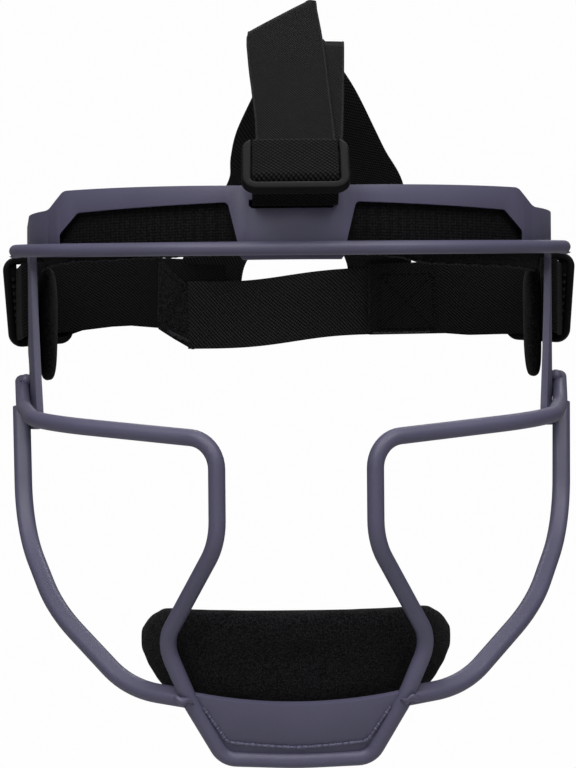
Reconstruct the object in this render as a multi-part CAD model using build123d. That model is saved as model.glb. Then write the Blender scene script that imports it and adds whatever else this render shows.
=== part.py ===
from build123d import *
import os
from math import atan2, cos, degrees, hypot, radians, sin, sqrt, tan

# Softball face guard, in millimetres. +Z is up, the wearer looks along -Y, +X is on the right in a
# view from the front, and the origin is the middle of the forehead pad's inner face.

# Clearances
weld_gap = 0.02  # between steel pieces that only the weld beads join
soft_gap = 0.3  # between a soft piece and anything that moves past it
seam_gap = 0.1  # between two layers of webbing that are sewn together
overrun = 30.0  # how far a cut runs past what it cuts

# Webbing
webbing_width = 25.4
webbing_thickness = 1.4
sewn_length = 26.0  # where two straps overlap
strap_bend = 2.4  # centre-line radius of a strap round a bar

# Forehead plate, stamped from one sheet with its two temple lobes
sheet_thickness = 2.0
front_radius = 112.0  # outer face in plan, across the brow
corner_radius = 50.0  # outer face in plan, at the temples
front_half_turn = 38.0  # degrees that the brow arc turns on each side
flare = 8.0  # degrees that the flat temple stretch opens outwards
temple_run = 46.3  # length of that flat stretch
brow_drop = 9.2  # lower edge at the front, below the origin
brow_rise = 3.8  # degrees that the lower edge climbs towards the back
plate_lip = 0.9  # how far the sheet reaches below the brow wire's middle
plate_top = 10.0
plate_shoulder = 11.8
shoulder_half_width = 73.0
shoulder_slope = 5.7
side_top = 6.2
lobe_drop = 65.0
lobe_front = 39.0  # Y of the lobe's front edge at its top
lobe_toe = 30.0  # Y of the front edge at its bottom
lobe_heel = 57.0  # Y where the bottom ends
lobe_waist = 66.0  # Y where the rear edge slants back
lobe_waist_drop = 44.0
lobe_rear_drop = 38.0
lobe_round = 6.0
top_round = 3.0
rear_chamfer = 5.0
tab_half_width = 17.0
tab_drop = 12.4
tab_chamfer = 1.8

# Vent windows and strap slots in the forehead plate
window_inner = 16.6
window_inner_top = 19.8
window_outer = 74.4
window_chamfer = 6.4
window_top = 5.4
window_outer_top = 4.4
window_edge = 1.2  # sheet left between a window and the brow wire's middle
window_round = 1.6
slot_clearance = 0.55
slot_height = 2.7
crown_slot_foot = 3.3  # lower edge of the crown strap's slot
rear_bar = 8.0  # sheet left behind a temple slot

# Brow wire
brow_wire_diameter = 4.3
brow_wire_corner = 58.0
brow_wire_tail = 9.0

# Face wire, from one temple round the cheek, nose and chin to the other
face_wire_diameter = 4.9
temple_end_run = 14.0
temple_end_drop = 49.0
temple_bend_run = -12.3
temple_bend_drop = 57.5
cheek_half_width = 76.7
cheek_front = 31.7
cheek_drop = 61.3
nose_half_width = 22.4
nose_front = 59.0
nose_top_drop = 66.4
nose_foot_drop = 95.5
mouth_half_width = 38.8
mouth_front = 39.0
mouth_drop = 125.8
chin_top_half_width = 31.9
chin_top_rise = 19.0  # along the leaning plate, above the chin wire
chin_half_width = 21.6
chin_front = 30.3
chin_drop = 160.6
chin_lean = 20.0  # degrees that the chin plate's top leans forwards
chin_bow = 3.5  # how far the middle stands in front of the sides
temple_bend = 60.0
cheek_bend = 40.0
nose_bend = 9.0
nostril_bend = 17.0
mouth_bend = 12.0
chin_side_bend = 30.0
chin_corner_bend = 6.0
chin_bow_bend = 70.0

# Jaw bars, flattened rod from the lobes to the chin
jaw_bar_width = 5.8
jaw_bar_depth = 4.6
jaw_bar_round = 2.0
jaw_top_run = 2.0
jaw_top_drop = 57.6
jaw_side_half_width = 88.6
jaw_side_y = 33.0
jaw_side_drop = 98.0
jaw_cheek_half_width = 75.0
jaw_cheek_y = 1.0
jaw_cheek_drop = 120.5
jaw_chin_half_width = 50.0
jaw_chin_front = 25.5
jaw_chin_drop = 141.5
jaw_side_bend = 45.0
jaw_cheek_bend = 80.0
jaw_chin_bend = 40.0

# Chin plate, behind the wires
chin_plate_setback = 0.8
chin_plate_top = 20.6  # at its ends, above the chin wire
chin_plate_middle = 18.6

# Weld beads
bead_radius = 2.3
tail_bead_turn = 77.0  # degrees round the plate's outer face
tail_bead_share = 0.8  # of the brow wire's radius, how far out of the plate its last bead sits
chin_bead_radius = 1.3
brow_bead_turns = (30.0, 62.0)  # degrees round the plate's outer face
chin_bead_height = 2.9

# Hook strips and pads
hook_thickness = 1.5
forehead_pad_thickness = 8.2
forehead_pad_top = 11.7
forehead_pad_foot = 11.6
forehead_pad_run = 4.0
forehead_hook_height = 17.0
pad_round = 3.0
pad_crown = 1.2
temple_hook_thickness = 1.2
temple_pad_thickness = 5.2
temple_pad_top_drop = 12.6
temple_pad_height = 38.4
temple_pad_width = 33.0
temple_pad_start = 1.0
temple_pad_round = 7.0
temple_hook_inset = 1.5
chin_pad_radius = 85.0  # front face in plan
chin_pad_thickness = 11.5
chin_pad_half_width = 46.6
chin_pad_waist_half_width = 38.5
chin_pad_foot_half_width = 30.0
chin_pad_top_drop = 116.2
chin_pad_side_height = 14.8  # upright stretch of each side, under the top corner
chin_pad_height = 34.0
chin_pad_corner = 9.0
chin_hook_half_width = 20.0
chin_hook_foot = 4.5
chin_hook_top = 16.5

# Crown strap: up from its slot, back to the ridge and over it, with a tail behind
ridge_y = 50.0
ridge_z = 74.0
crown_adjuster_y = -19.4
crown_adjuster_z = 15.9
crown_bend_run = 6.8  # from the adjuster down to the bend towards the slot
crown_slot_reach = 2.6  # level stretch in front of the plate
crown_tail_offset = 4.6  # tail behind the run
crown_tail_length = 62.0
crown_flap_length = 22.0
crown_flap_slope = 45.0  # degrees that the back of the ridge falls
crown_adjuster_tilt = 5.0  # degrees that the adjuster leans back past the strap

# Tri-glide adjusters
adjuster_width = 32.7
adjuster_height = 24.0
adjuster_thickness = 3.0
adjuster_bar = 3.0
adjuster_corner = 5.0
adjuster_window_corner = 1.3
adjuster_edge_round = 0.8
centre_bar_height = 4.0
centre_bar_setback = 1.3
centre_bar_thickness = 1.9

# Harness behind the head
strap_middle_drop = 19.5
rear_strap_drop = 22.5
joint_half_width = 37.0
joint_y = 121.0
adjuster_back = 7.6  # run line behind the lobe's rear edge
adjuster_in = 4.6  # inside the lobe's outer face
side_window_share = 0.6  # of half the adjuster's height, where the strap enters its window
side_tail_length = 34.0
rear_strap_bend = 47.0
yoke_foot_half_width = 31.0
yoke_apex_below = 3.0
yoke_apex_front = 1.0
yoke_apex_thickness = 2.0

# Places that follow from the sizes above
plate_front = -(forehead_pad_thickness + soft_gap + hook_thickness + sheet_thickness)
front_centre_y = plate_front + front_radius
side_turn = 90 - flare
face_wire_radius = face_wire_diameter / 2
brow_wire_radius = brow_wire_diameter / 2
flare_sin, flare_cos = sin(radians(flare)), cos(radians(flare))
half_webbing = webbing_width / 2
half_strap = webbing_thickness / 2
chin_radius = (chin_top_half_width**2 + chin_bow**2) / (2 * chin_bow)
chin_sheet_front = chin_plate_setback - chin_bow - sheet_thickness / 2
chin_sheet_back = chin_sheet_front + sheet_thickness


def plan_point(turn, depth, corner=corner_radius):
    """Point of the band in plan, `depth` inside its outer face, where that face has turned by `turn`."""
    if turn <= front_half_turn:
        reach = front_radius - depth
        return (reach * sin(radians(turn)), front_centre_y - reach * cos(radians(turn)))
    arm = front_radius - corner_radius
    centre_x = arm * sin(radians(front_half_turn))
    centre_y = front_centre_y - arm * cos(radians(front_half_turn))
    reach = corner - depth
    return (centre_x + reach * sin(radians(turn)), centre_y - reach * cos(radians(turn)))


def side_point(run, depth):
    """Point on the right temple's flat stretch in plan, `run` along it and `depth` inside its face."""
    x, y = plan_point(side_turn, depth)
    return (x + run * flare_sin, y + run * flare_cos)


def mirrored(point):
    """The same point on the left."""
    return (-point[0],) + tuple(point[1:])


def band_edges(depth, run):
    """Plan line of the band from the left temple round the brow to the right temple."""
    turns = (front_half_turn, (front_half_turn + side_turn) / 2, side_turn)
    corner = [plan_point(turn, depth) for turn in turns]
    end = side_point(run, depth)
    left = [mirrored(point) for point in reversed(corner)]
    return [
        Line(mirrored(end), left[0]),
        ThreePointArc(*left),
        ThreePointArc(left[2], plan_point(0, depth), corner[0]),
        ThreePointArc(*corner),
        Line(corner[2], end),
    ]


def band(outer, inner, run, foot, top):
    """Upright band between two depths inside the plate's outer face."""
    ends = [
        Line(side_point(run, outer), side_point(run, inner)),
        Line(mirrored(side_point(run, outer)), mirrored(side_point(run, inner))),
    ]
    outline = make_face(band_edges(outer, run) + band_edges(inner, run) + ends)
    return Pos(0, 0, foot) * extrude(outline, amount=top - foot)


def front_prism(outline):
    """Solid with an outline drawn in the front view, from far in front to far behind."""
    reach = front_radius + temple_run + overrun
    return extrude(Plane.XZ * outline, amount=reach, both=True)


def side_prism(outline):
    """Solid with an outline drawn in the side view, right through the object."""
    reach = front_radius + overrun
    return extrude(Plane.YZ * outline, amount=reach, both=True)


def brow_line(y):
    """Height of the brow wire's middle at a depth y."""
    return -brow_drop + (y - plate_front + brow_wire_radius) * tan(radians(brow_rise))


def rounded_outline(corners):
    """Closed outline of (x, y, rounding) corners."""
    points = [(x, y) for x, y, _ in corners]
    radii = [rounding for _, _, rounding in corners]
    return make_face(FilletPolyline(*points, radius=radii, close=True))


def window_outline(side):
    """One vent window in the front view, on the right for side 1 and the left for side -1."""
    inner_foot = brow_line(plan_point(0, 0)[1]) + window_edge
    outer_foot = brow_line(plan_point(front_half_turn, 0)[1]) + window_edge
    corners = [
        (window_inner, inner_foot, window_round / 2),
        (window_inner_top, window_top, window_round),
        (window_outer - window_chamfer, window_outer_top, window_round),
        (window_outer, window_outer_top - window_chamfer, window_round),
        (window_outer, outer_foot, window_round / 2),
    ]
    return rounded_outline([(side * x, y, rounding) for x, y, rounding in corners])


def crown_slot_outline():
    """The crown strap's slot in the front view, with its lower corners cut off."""
    half = half_webbing + slot_clearance
    foot, top = crown_slot_foot, crown_slot_foot + slot_height
    cut = slot_height / 3
    points = [(-half, top), (half, top), (half, foot + cut), (half - cut, foot), (cut - half, foot)]
    return make_face(Polyline(*points, (-half, foot + cut), close=True))


def lobe_outline():
    """Side view of the band with its lobe. The front view trims its top across the brow."""
    join = plan_point(side_turn, 0)[1] / 2
    rear = side_point(temple_run, 0)[1] + sheet_thickness
    far = plate_front - overrun
    corners = [
        (far, -lobe_drop - overrun, 0),
        (join, -lobe_drop - overrun, 0),
        (join, brow_line(join) - plate_lip, 0),
        (lobe_front, brow_line(lobe_front) - plate_lip, lobe_round / 2),
        (lobe_toe, -lobe_drop, lobe_round),
        (lobe_heel, -lobe_drop, lobe_round),
        (lobe_waist, -lobe_waist_drop, lobe_round),
        (rear, -lobe_rear_drop, lobe_round),
        (rear, side_top - rear_chamfer, 0),
        (rear - rear_chamfer - overrun, side_top + overrun, 0),
        (far, side_top + overrun, 0),
    ]
    return rounded_outline(corners)


def brow_outline():
    """Front view of the brow. Beyond its drop on each side the side view takes over."""
    slope_end = shoulder_half_width + shoulder_slope
    drop_x = plan_point(side_turn, 0)[0] - overrun / 5
    edge = front_radius + overrun
    front_foot = brow_line(plan_point(0, 0)[1]) - plate_lip
    side_foot = brow_line(plan_point(side_turn, 0)[1] / 2) - plate_lip
    right = [
        (shoulder_half_width, plate_shoulder, top_round),
        (slope_end, side_top, top_round),
        (edge, side_top, 0),
        (edge, -lobe_drop - overrun, 0),
        (drop_x, -lobe_drop - overrun, 0),
        (drop_x, side_foot, 0),
        (tab_half_width, front_foot, 0),
        (tab_half_width - tab_chamfer, -tab_drop, 0),
    ]
    left = [(-x, y, rounding) for x, y, rounding in reversed(right)]
    return rounded_outline([(0, plate_top, front_radius)] + right + left)


def temple_slot(side):
    """Cutter for the strap slot near the back of one lobe."""
    x, y = side_point(temple_run - rear_bar - slot_height / 2, 0)
    size = (overrun, slot_height, webbing_width + 2 * slot_clearance)
    return Pos(side * x, y, -strap_middle_drop) * Rot(0, 0, -side * flare) * Box(*size)


def forehead_plate():
    """Stamped U-shaped sheet with windows, a crown slot and a hanging lobe at each temple."""
    sheet = band(0, sheet_thickness, temple_run, -lobe_drop - overrun / 2, plate_shoulder + overrun / 2)
    sheet = sheet & side_prism(lobe_outline()) & front_prism(brow_outline())
    for side in (-1, 1):
        sheet -= front_prism(window_outline(side))
        sheet -= temple_slot(side)
    return sheet - front_prism(crown_slot_outline())


def rod(points, radii, section, across=None):
    """A section carried along straight runs joined by tangent arcs."""
    path = FilletPolyline(*points, radius=radii)
    start = Plane(origin=path @ 0, x_dir=across, z_dir=path % 0)
    return sweep(start * section, path=path)


def brow_wire():
    """Wire along the plate's lower edge, that stands off it a little at the temples."""
    depth = -(brow_wire_radius + weld_gap)
    corner = brow_wire_corner + brow_wire_radius
    turns = (front_half_turn, (front_half_turn + side_turn) / 2, side_turn)
    arc = [plan_point(front_half_turn, depth)]
    shift_x = arc[0][0] - corner * sin(radians(front_half_turn))
    shift_y = arc[0][1] + corner * cos(radians(front_half_turn))
    for turn in turns[1:]:
        arc.append((shift_x + corner * sin(radians(turn)), shift_y - corner * cos(radians(turn))))
    end = (arc[2][0] + brow_wire_tail * flare_sin, arc[2][1] + brow_wire_tail * flare_cos)
    left = [mirrored(point) for point in reversed(arc)]
    path = Wire(
        [
            Line(mirrored(end), left[0]).edge(),
            ThreePointArc(*left).edge(),
            ThreePointArc(left[2], plan_point(0, depth), arc[0]).edge(),
            ThreePointArc(*arc).edge(),
            Line(arc[2], end).edge(),
        ]
    )
    wire = sweep(Plane(origin=path @ 0, z_dir=path % 0) * Circle(brow_wire_radius), path=path)
    front_y = plan_point(0, depth)[1]
    return Pos(0, front_y, -brow_drop) * Rot(brow_rise, 0, 0) * Pos(0, -front_y, 0) * wire


def face_wire_points():
    """Corners of the face wire on the right, from the temple to the middle of the chin."""
    depth = -(face_wire_radius + weld_gap)
    return [
        side_point(temple_end_run, depth) + (-temple_end_drop,),
        side_point(temple_bend_run, depth) + (-temple_bend_drop,),
        (cheek_half_width, -cheek_front, -cheek_drop),
        (nose_half_width, -nose_front, -nose_top_drop),
        (nose_half_width, -nose_front, -nose_foot_drop),
        (mouth_half_width, -mouth_front, -mouth_drop),
        chin_place(chin_top_half_width, 0, chin_top_rise),
        chin_place(chin_half_width, 0, 0),
        chin_place(0, 0, 0),
    ]


def face_wire():
    """One bent wire, the same on both sides."""
    right = face_wire_points()
    bends = [temple_bend, cheek_bend, nose_bend, nostril_bend, mouth_bend, chin_side_bend, chin_corner_bend]
    points = right + [mirrored(point) for point in reversed(right[:-1])]
    return rod(points, bends + [chin_bow_bend] + bends[::-1], Circle(face_wire_radius))


def chin_place(x, back, up):
    """Point of the leaning chin, `back` behind the bowed surface of its wire and `up` along it."""
    lean = radians(chin_lean)
    behind = back - chin_bow * (1 - (x / chin_top_half_width) ** 2)
    return (
        x,
        -chin_front + behind * cos(lean) - up * sin(lean),
        -chin_drop + behind * sin(lean) + up * cos(lean),
    )


def chin_frame():
    """Location of the leaning frame, whose zero is between the sides of the chin wire."""
    return Pos(0, -chin_front, -chin_drop) * Rot(chin_lean, 0, 0)


def chin_shell(radius, front, thickness, foot, top):
    """Upright shell in the leaning frame, with its front face's radius and place in the middle."""
    ring = Circle(radius) - Circle(radius - thickness)
    half = Pos(0, -radius) * Rectangle(2 * radius, 2 * radius - thickness)
    return Pos(0, front + radius, foot) * extrude(ring & half, amount=top - foot)


def chin_plate(wire):
    """Sheet that fills the chin wire, with a top edge that dips in the middle."""
    shell = chin_shell(chin_radius, chin_sheet_front, sheet_thickness, -overrun, 2 * overrun)
    slant = (chin_top_half_width - chin_half_width) / chin_top_rise
    top_x = chin_half_width + slant * chin_plate_top
    outline = make_face(
        [
            Line((-top_x, chin_plate_top), (-chin_half_width, 0)),
            Line((-chin_half_width, 0), (chin_half_width, 0)),
            Line((chin_half_width, 0), (top_x, chin_plate_top)),
            ThreePointArc((top_x, chin_plate_top), (0, chin_plate_middle), (-top_x, chin_plate_top)),
        ]
    )
    prism = extrude(Plane.XZ * outline, amount=overrun, both=True)
    pieces = (chin_frame() * (shell & prism) - wire).solids()
    return max(pieces, key=lambda solid: solid.volume)


def jaw_bar(side, plate, wire):
    """Flattened bar from a lobe's outer face down and forward to the face wire."""
    depth = -(jaw_bar_width / 2 + weld_gap)
    corners = [
        side_point(jaw_top_run, depth) + (-jaw_top_drop,),
        (jaw_side_half_width, jaw_side_y, -jaw_side_drop),
        (jaw_cheek_half_width, jaw_cheek_y, -jaw_cheek_drop),
        (jaw_chin_half_width, -jaw_chin_front, -jaw_chin_drop),
        chin_place(chin_top_half_width, 0, chin_top_rise),
    ]
    section = RectangleRounded(jaw_bar_width, jaw_bar_depth, jaw_bar_round)
    points = [(side * x, y, z) for x, y, z in corners]
    bar = rod(points, [jaw_side_bend, jaw_cheek_bend, jaw_chin_bend], section, (1, 0, 0))
    return max((bar - wire - plate).solids(), key=lambda solid: solid.volume)


def beads(places, tip, *neighbours):
    """Weld beads at some places, each cut back to the steel that it joins. `tip` turns their poles."""
    group = []
    for place in places:
        bead = Pos(*place) * Rot(0, tip, 0) * Sphere(bead_radius)
        for neighbour in neighbours:
            bead -= neighbour
        group.append(max(bead.solids(), key=lambda solid: solid.volume))
    return Compound(children=group)


def both_sides(places):
    """Places on the right, then the same on the left."""
    return places + [mirrored(place) for place in places]


def brow_beads(plate, wire):
    """Beads under the brow wire, where it meets the plate."""
    places = []
    for turn in brow_bead_turns:
        x, y = plan_point(turn, -brow_wire_radius / 2)
        places.append((x, y, brow_line(y) - brow_wire_radius / 2))
    x, y = plan_point(tail_bead_turn, -brow_wire_radius * tail_bead_share)
    places.append((x, y, brow_line(y) - brow_wire_radius / 2))
    return beads(both_sides(places), 90, wire, plate)


def temple_beads(plate, wire):
    """Beads above and below the face wire on each lobe."""
    x, y = side_point(temple_end_run / 2, -face_wire_radius / 2)
    share = (temple_end_run / 2 - temple_bend_run) / (temple_end_run - temple_bend_run)
    middle = temple_bend_drop + share * (temple_end_drop - temple_bend_drop)
    places = [(x, y, face_wire_radius - middle), (x, y, -face_wire_radius - middle)]
    return beads(both_sides(places), 0, plate, wire)


def jaw_beads(plate, wire, bars):
    """Beads where each jaw bar meets its lobe and the face wire."""
    x, y = side_point(jaw_top_run + jaw_bar_depth / 2, -jaw_bar_width / 4)
    low = chin_place(chin_top_half_width, 0, chin_top_rise - face_wire_radius)
    places = [
        (x, y, -(jaw_top_drop + lobe_drop) / 2),
        (low[0] + face_wire_radius, low[1], low[2]),
    ]
    return beads(both_sides(places), 0, plate, wire, *bars)


def chin_bead(wire, plate):
    """Bead along the foot of the chin plate, on its front."""
    half = chin_half_width - bead_radius
    front = chin_plate_setback - sheet_thickness / 2
    end = chin_place(half, front, chin_bead_height)
    points = [mirrored(end), chin_place(0, front, chin_bead_height), end]
    bead = rod(points, [chin_bow_bend], Circle(chin_bead_radius)) - wire - plate
    return max(bead.solids(), key=lambda solid: solid.volume)


def forehead_hook(side):
    """Hook strip stuck inside the plate, clear of the crown strap."""
    half = forehead_hook_height / 2
    strip = band(sheet_thickness, sheet_thickness + hook_thickness, forehead_pad_run, -half, half)
    start = half_webbing + slot_clearance + soft_gap
    reach = front_radius + overrun
    keep = Pos(side * (start + reach / 2), 0, 0) * Box(reach, 2 * reach, 2 * reach)
    return strip & keep


def forehead_pad():
    """Foam pad with a crowned inner face, carried round the plate's inside."""
    depth = sheet_thickness + hook_thickness + soft_gap
    path = Wire([edge.edge() for edge in band_edges(depth, forehead_pad_run)])
    top, foot = forehead_pad_top, -forehead_pad_foot
    face = forehead_pad_thickness
    middle = (top + foot) / 2
    bevel = pad_round * (1 - cos(radians(45)))
    section = make_face(
        [
            Line((0, foot), (0, top)),
            Line((0, top), (face - pad_crown - pad_round, top)),
            ThreePointArc(
                (face - pad_crown - pad_round, top),
                (face - pad_crown - bevel, top - bevel),
                (face - pad_crown, top - pad_round),
            ),
            ThreePointArc((face - pad_crown, top - pad_round), (face, middle), (face - pad_crown, foot + pad_round)),
            ThreePointArc(
                (face - pad_crown, foot + pad_round),
                (face - pad_crown - bevel, foot + bevel),
                (face - pad_crown - pad_round, foot),
            ),
            Line((face - pad_crown - pad_round, foot), (0, foot)),
        ]
    )
    start = Plane(origin=path @ 0, x_dir=(flare_cos, flare_sin, 0), z_dir=path % 0)
    pad = sweep(start * section, path=path)
    return pad - crown_relief()


def crown_tail_y():
    """Y of the strap's middle where it rises behind the plate's rim."""
    inner = front_radius - sheet_thickness
    sag = inner - sqrt(inner**2 - half_webbing**2)
    return plate_front + sheet_thickness + sag + soft_gap + half_strap


def crown_relief():
    """The hollow that the crown strap presses into the back of the forehead pad."""
    back = crown_tail_y() + half_strap + soft_gap
    width = webbing_width + 2 * soft_gap + 2 * slot_clearance
    foot = crown_slot_foot - soft_gap
    size = (width, overrun, forehead_pad_top + overrun - foot)
    return Pos(0, back - overrun / 2, foot + size[2] / 2) * Box(*size)


def temple_plane(side, run, depth, z):
    """Plane on a lobe, x along it to the back and z into the head."""
    x, y = side_point(run, depth)
    along = (side * flare_sin, flare_cos, 0)
    inward = (-side * flare_cos, flare_sin, 0)
    return Plane(origin=(side * x, y, z), x_dir=along, z_dir=inward)


def temple_layer(side, depth, thickness, inset, rounding):
    """Rounded block on the inside of a lobe."""
    run = temple_pad_start + temple_pad_width / 2
    middle = -(temple_pad_top_drop + temple_pad_height / 2)
    width, height = temple_pad_width - 2 * inset, temple_pad_height - 2 * inset
    outline = RectangleRounded(width, height, temple_pad_round - inset)
    block = extrude(outline, amount=thickness)
    if rounding:
        block = fillet(block.faces().sort_by(Axis.Z)[-1].edges(), rounding)
    return temple_plane(side, run, depth, middle) * block


def temple_hook(side):
    """Hook patch between a lobe and its pad."""
    return temple_layer(side, sheet_thickness, temple_hook_thickness, temple_hook_inset, 0)


def temple_pad(side):
    """Foam pad inside a lobe."""
    depth = sheet_thickness + temple_hook_thickness + soft_gap
    return temple_layer(side, depth, temple_pad_thickness, 0, pad_round)


def chin_pad():
    """Curved foam pad behind the chin plate, its rim rounded off in the front view."""
    front = chin_sheet_back + hook_thickness + soft_gap
    shell = chin_shell(chin_pad_radius, front, chin_pad_thickness, -overrun, 3 * overrun)
    shoulder_drop = chin_pad_top_drop + chin_pad_side_height
    foot_drop = chin_pad_top_drop + chin_pad_height
    middle_drop = (shoulder_drop + foot_drop) / 2
    right = [
        (chin_pad_half_width, -chin_pad_top_drop, chin_pad_corner),
        (chin_pad_half_width, -shoulder_drop, chin_pad_corner),
        (chin_pad_waist_half_width, -middle_drop, chin_pad_corner),
        (chin_pad_foot_half_width, -foot_drop, pad_round),
    ]
    left = [(-x, z, rounding) for x, z, rounding in reversed(right)]
    return (chin_frame() * shell) & front_prism(rounded_outline(right + left))


def chin_hook():
    """Hook patch on the back of the chin plate."""
    radius = chin_radius - sheet_thickness
    shell = chin_shell(radius, chin_sheet_back, hook_thickness, chin_hook_foot, chin_hook_top)
    keep = Box(2 * chin_hook_half_width, 2 * overrun, 2 * overrun)
    return chin_frame() * (shell & keep)


def crown_run():
    """Unit direction (y, z) of the crown strap's run, from its adjuster to the ridge."""
    dy, dz = ridge_y - crown_adjuster_y, ridge_z - crown_adjuster_z
    length = hypot(dy, dz)
    return dy / length, dz / length


def crown_strap():
    """Webbing looped through the crown slot, with its run, its tail and the flap over the ridge."""
    uy, uz = crown_run()
    slot_z = crown_slot_foot + slot_height / 2
    slope = radians(crown_flap_slope)
    tail_y = crown_tail_y()
    line_y = crown_adjuster_y + uz * crown_tail_offset
    line_z = crown_adjuster_z - uy * crown_tail_offset
    tail_z = line_z + (tail_y - line_y) * uz / uy
    corners = [
        (ridge_y + crown_flap_length * cos(slope), ridge_z - crown_flap_length * sin(slope)),
        (ridge_y, ridge_z),
        (crown_adjuster_y - crown_bend_run * uy, crown_adjuster_z - crown_bend_run * uz),
        (plate_front - crown_slot_reach, slot_z),
        (tail_y, slot_z),
        (tail_y, tail_z),
        (tail_y + crown_tail_length * uy, tail_z + crown_tail_length * uz),
    ]
    tight = slot_height / 2
    bends = [strap_bend, strap_bend, strap_bend, tight, strap_bend]
    points = [(0, y, z) for y, z in corners]
    return rod(points, bends, Rectangle(webbing_width, webbing_thickness), (1, 0, 0))


def tri_glide(passage):
    """Adjuster in its own frame: x across the strap, y along it and z out of its front.

    A passage is the tilt in degrees of the strap that goes behind its lower bar and in front of its
    upper one, or None where the strap keeps in front of it."""
    outline = RectangleRounded(adjuster_width, adjuster_height, adjuster_corner)
    window = RectangleRounded(
        adjuster_width - 2 * adjuster_bar, adjuster_height - 2 * adjuster_bar, adjuster_window_corner
    )
    half = adjuster_thickness / 2
    body = Pos(0, 0, -half) * extrude(outline, amount=adjuster_thickness)
    body = fillet(body.faces().sort_by(Axis.Z)[-1].edges(), adjuster_edge_round)
    body -= extrude(window, amount=adjuster_thickness, both=True)
    bar_size = (adjuster_width - 2 * adjuster_bar, centre_bar_height, adjuster_thickness)
    if passage is None:
        return body + Box(*bar_size)
    bar_size = (adjuster_width - adjuster_bar, centre_bar_height, centre_bar_thickness)
    body += Pos(0, 0, -centre_bar_setback - centre_bar_thickness / 2) * Box(*bar_size)
    lane = Box(
        webbing_width + 2 * soft_gap, adjuster_height + overrun, webbing_thickness + 2 * soft_gap
    )
    return body - Rot(passage, 0, 0) * lane


def crown_adjuster():
    """Adjuster on the crown strap, leaning back a little more than the strap does."""
    uy, uz = crown_run()
    lean = degrees(atan2(uy, uz))
    turn = 90 - lean - crown_adjuster_tilt
    return Pos(0, crown_adjuster_y, crown_adjuster_z) * Rot(turn, 0, 0) * tri_glide(crown_adjuster_tilt)


def side_run():
    """Start (x, y) beside the right adjuster, and unit direction, of a side strap's run to its joint."""
    x, y = side_point(temple_run + adjuster_back, adjuster_in)
    dx, dy = joint_half_width - x, joint_y - y
    length = hypot(dx, dy)
    return (x, y), (dx / length, dy / length)


def run_point(along, back):
    """Point in plan by a side strap's run: `along` it from beside the adjuster, and `back` from it."""
    (x, y), (rx, ry) = side_run()
    return (x + along * rx + back * ry, y + along * ry - back * rx)


def side_strap(side):
    """Webbing from the rear joint along the lobe's inside, out through its slot and back to its tail."""
    start, direction = side_run()
    joint_run = (joint_half_width - start[0]) / direction[0]
    inside = sheet_thickness + soft_gap + half_strap
    slot_run = temple_run - rear_bar - slot_height / 2
    behind = 2 * (half_strap + soft_gap) + adjuster_thickness
    # where the run meets the line of webbing along the lobe's inner face
    meet = side_point(0, inside)
    offset_x, offset_y = start[0] - meet[0], start[1] - meet[1]
    cross = direction[0] * flare_cos - direction[1] * flare_sin
    along = (offset_y * flare_sin - offset_x * flare_cos) / cross
    plan = [
        run_point(joint_run + sewn_length / 2, 0),
        run_point(along, 0),
        side_point(slot_run, inside),
        side_point(slot_run, -(soft_gap + half_strap + slot_clearance)),
        run_point(-side_window_share * adjuster_height / 2, behind),
        run_point(side_tail_length - side_window_share * adjuster_height / 2, behind),
    ]
    tight = slot_height / 2
    points = [(side * x, y, -strap_middle_drop) for x, y in plan]
    bends = [strap_bend, tight, tight, strap_bend]
    return rod(points, bends, Rectangle(webbing_width, webbing_thickness), (0, 0, 1))


def side_adjuster(side):
    """Adjuster behind a lobe, with the run in front of it and the tail behind it."""
    behind = half_strap + soft_gap + adjuster_thickness / 2
    x, y = run_point(0, behind)
    _, (rx, ry) = side_run()
    place = Plane(origin=(side * x, y, -strap_middle_drop), x_dir=(0, 0, 1), z_dir=(-side * ry, rx, 0))
    return place * tri_glide(None)


def rear_strap():
    """Elastic band behind the head, between the two joints."""
    start, direction = side_run()
    joint_run = (joint_half_width - start[0]) / direction[0]
    back = 2 * webbing_thickness + soft_gap + seam_gap
    end = run_point(joint_run - sewn_length / 2, back)
    middle_y = end[1] + end[0] * -direction[1] / direction[0]
    points = [(x, y, -rear_strap_drop) for x, y in (end, (0, middle_y), mirrored(end))]
    return rod(points, [rear_strap_bend], Rectangle(webbing_width, webbing_thickness), (0, 0, 1))


def yoke_leg(side):
    """One leg of the crown yoke, from the ridge down to its sewn foot."""
    start, direction = side_run()
    foot_run = (yoke_foot_half_width - start[0]) / direction[0]
    x, y = run_point(foot_run, webbing_thickness + soft_gap)
    foot_top = half_webbing - strap_middle_drop
    turn = degrees(atan2(direction[1], direction[0]))
    foot_face = Pos(side * x, y, foot_top) * Rot(0, 0, side * turn) * Rectangle(webbing_width, webbing_thickness)
    apex = Pos(0, ridge_y - yoke_apex_front, ridge_z - yoke_apex_below)
    apex_face = apex * Rectangle(webbing_width, yoke_apex_thickness)
    leg = loft([apex_face.face(), foot_face.face()], ruled=True)
    return leg + extrude(foot_face, amount=-webbing_width)


def crown_yoke():
    """Strap folded into an inverted V, open in the middle for a ponytail."""
    right, left = (yoke_leg(side) for side in (1, -1))
    return right + left


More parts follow.
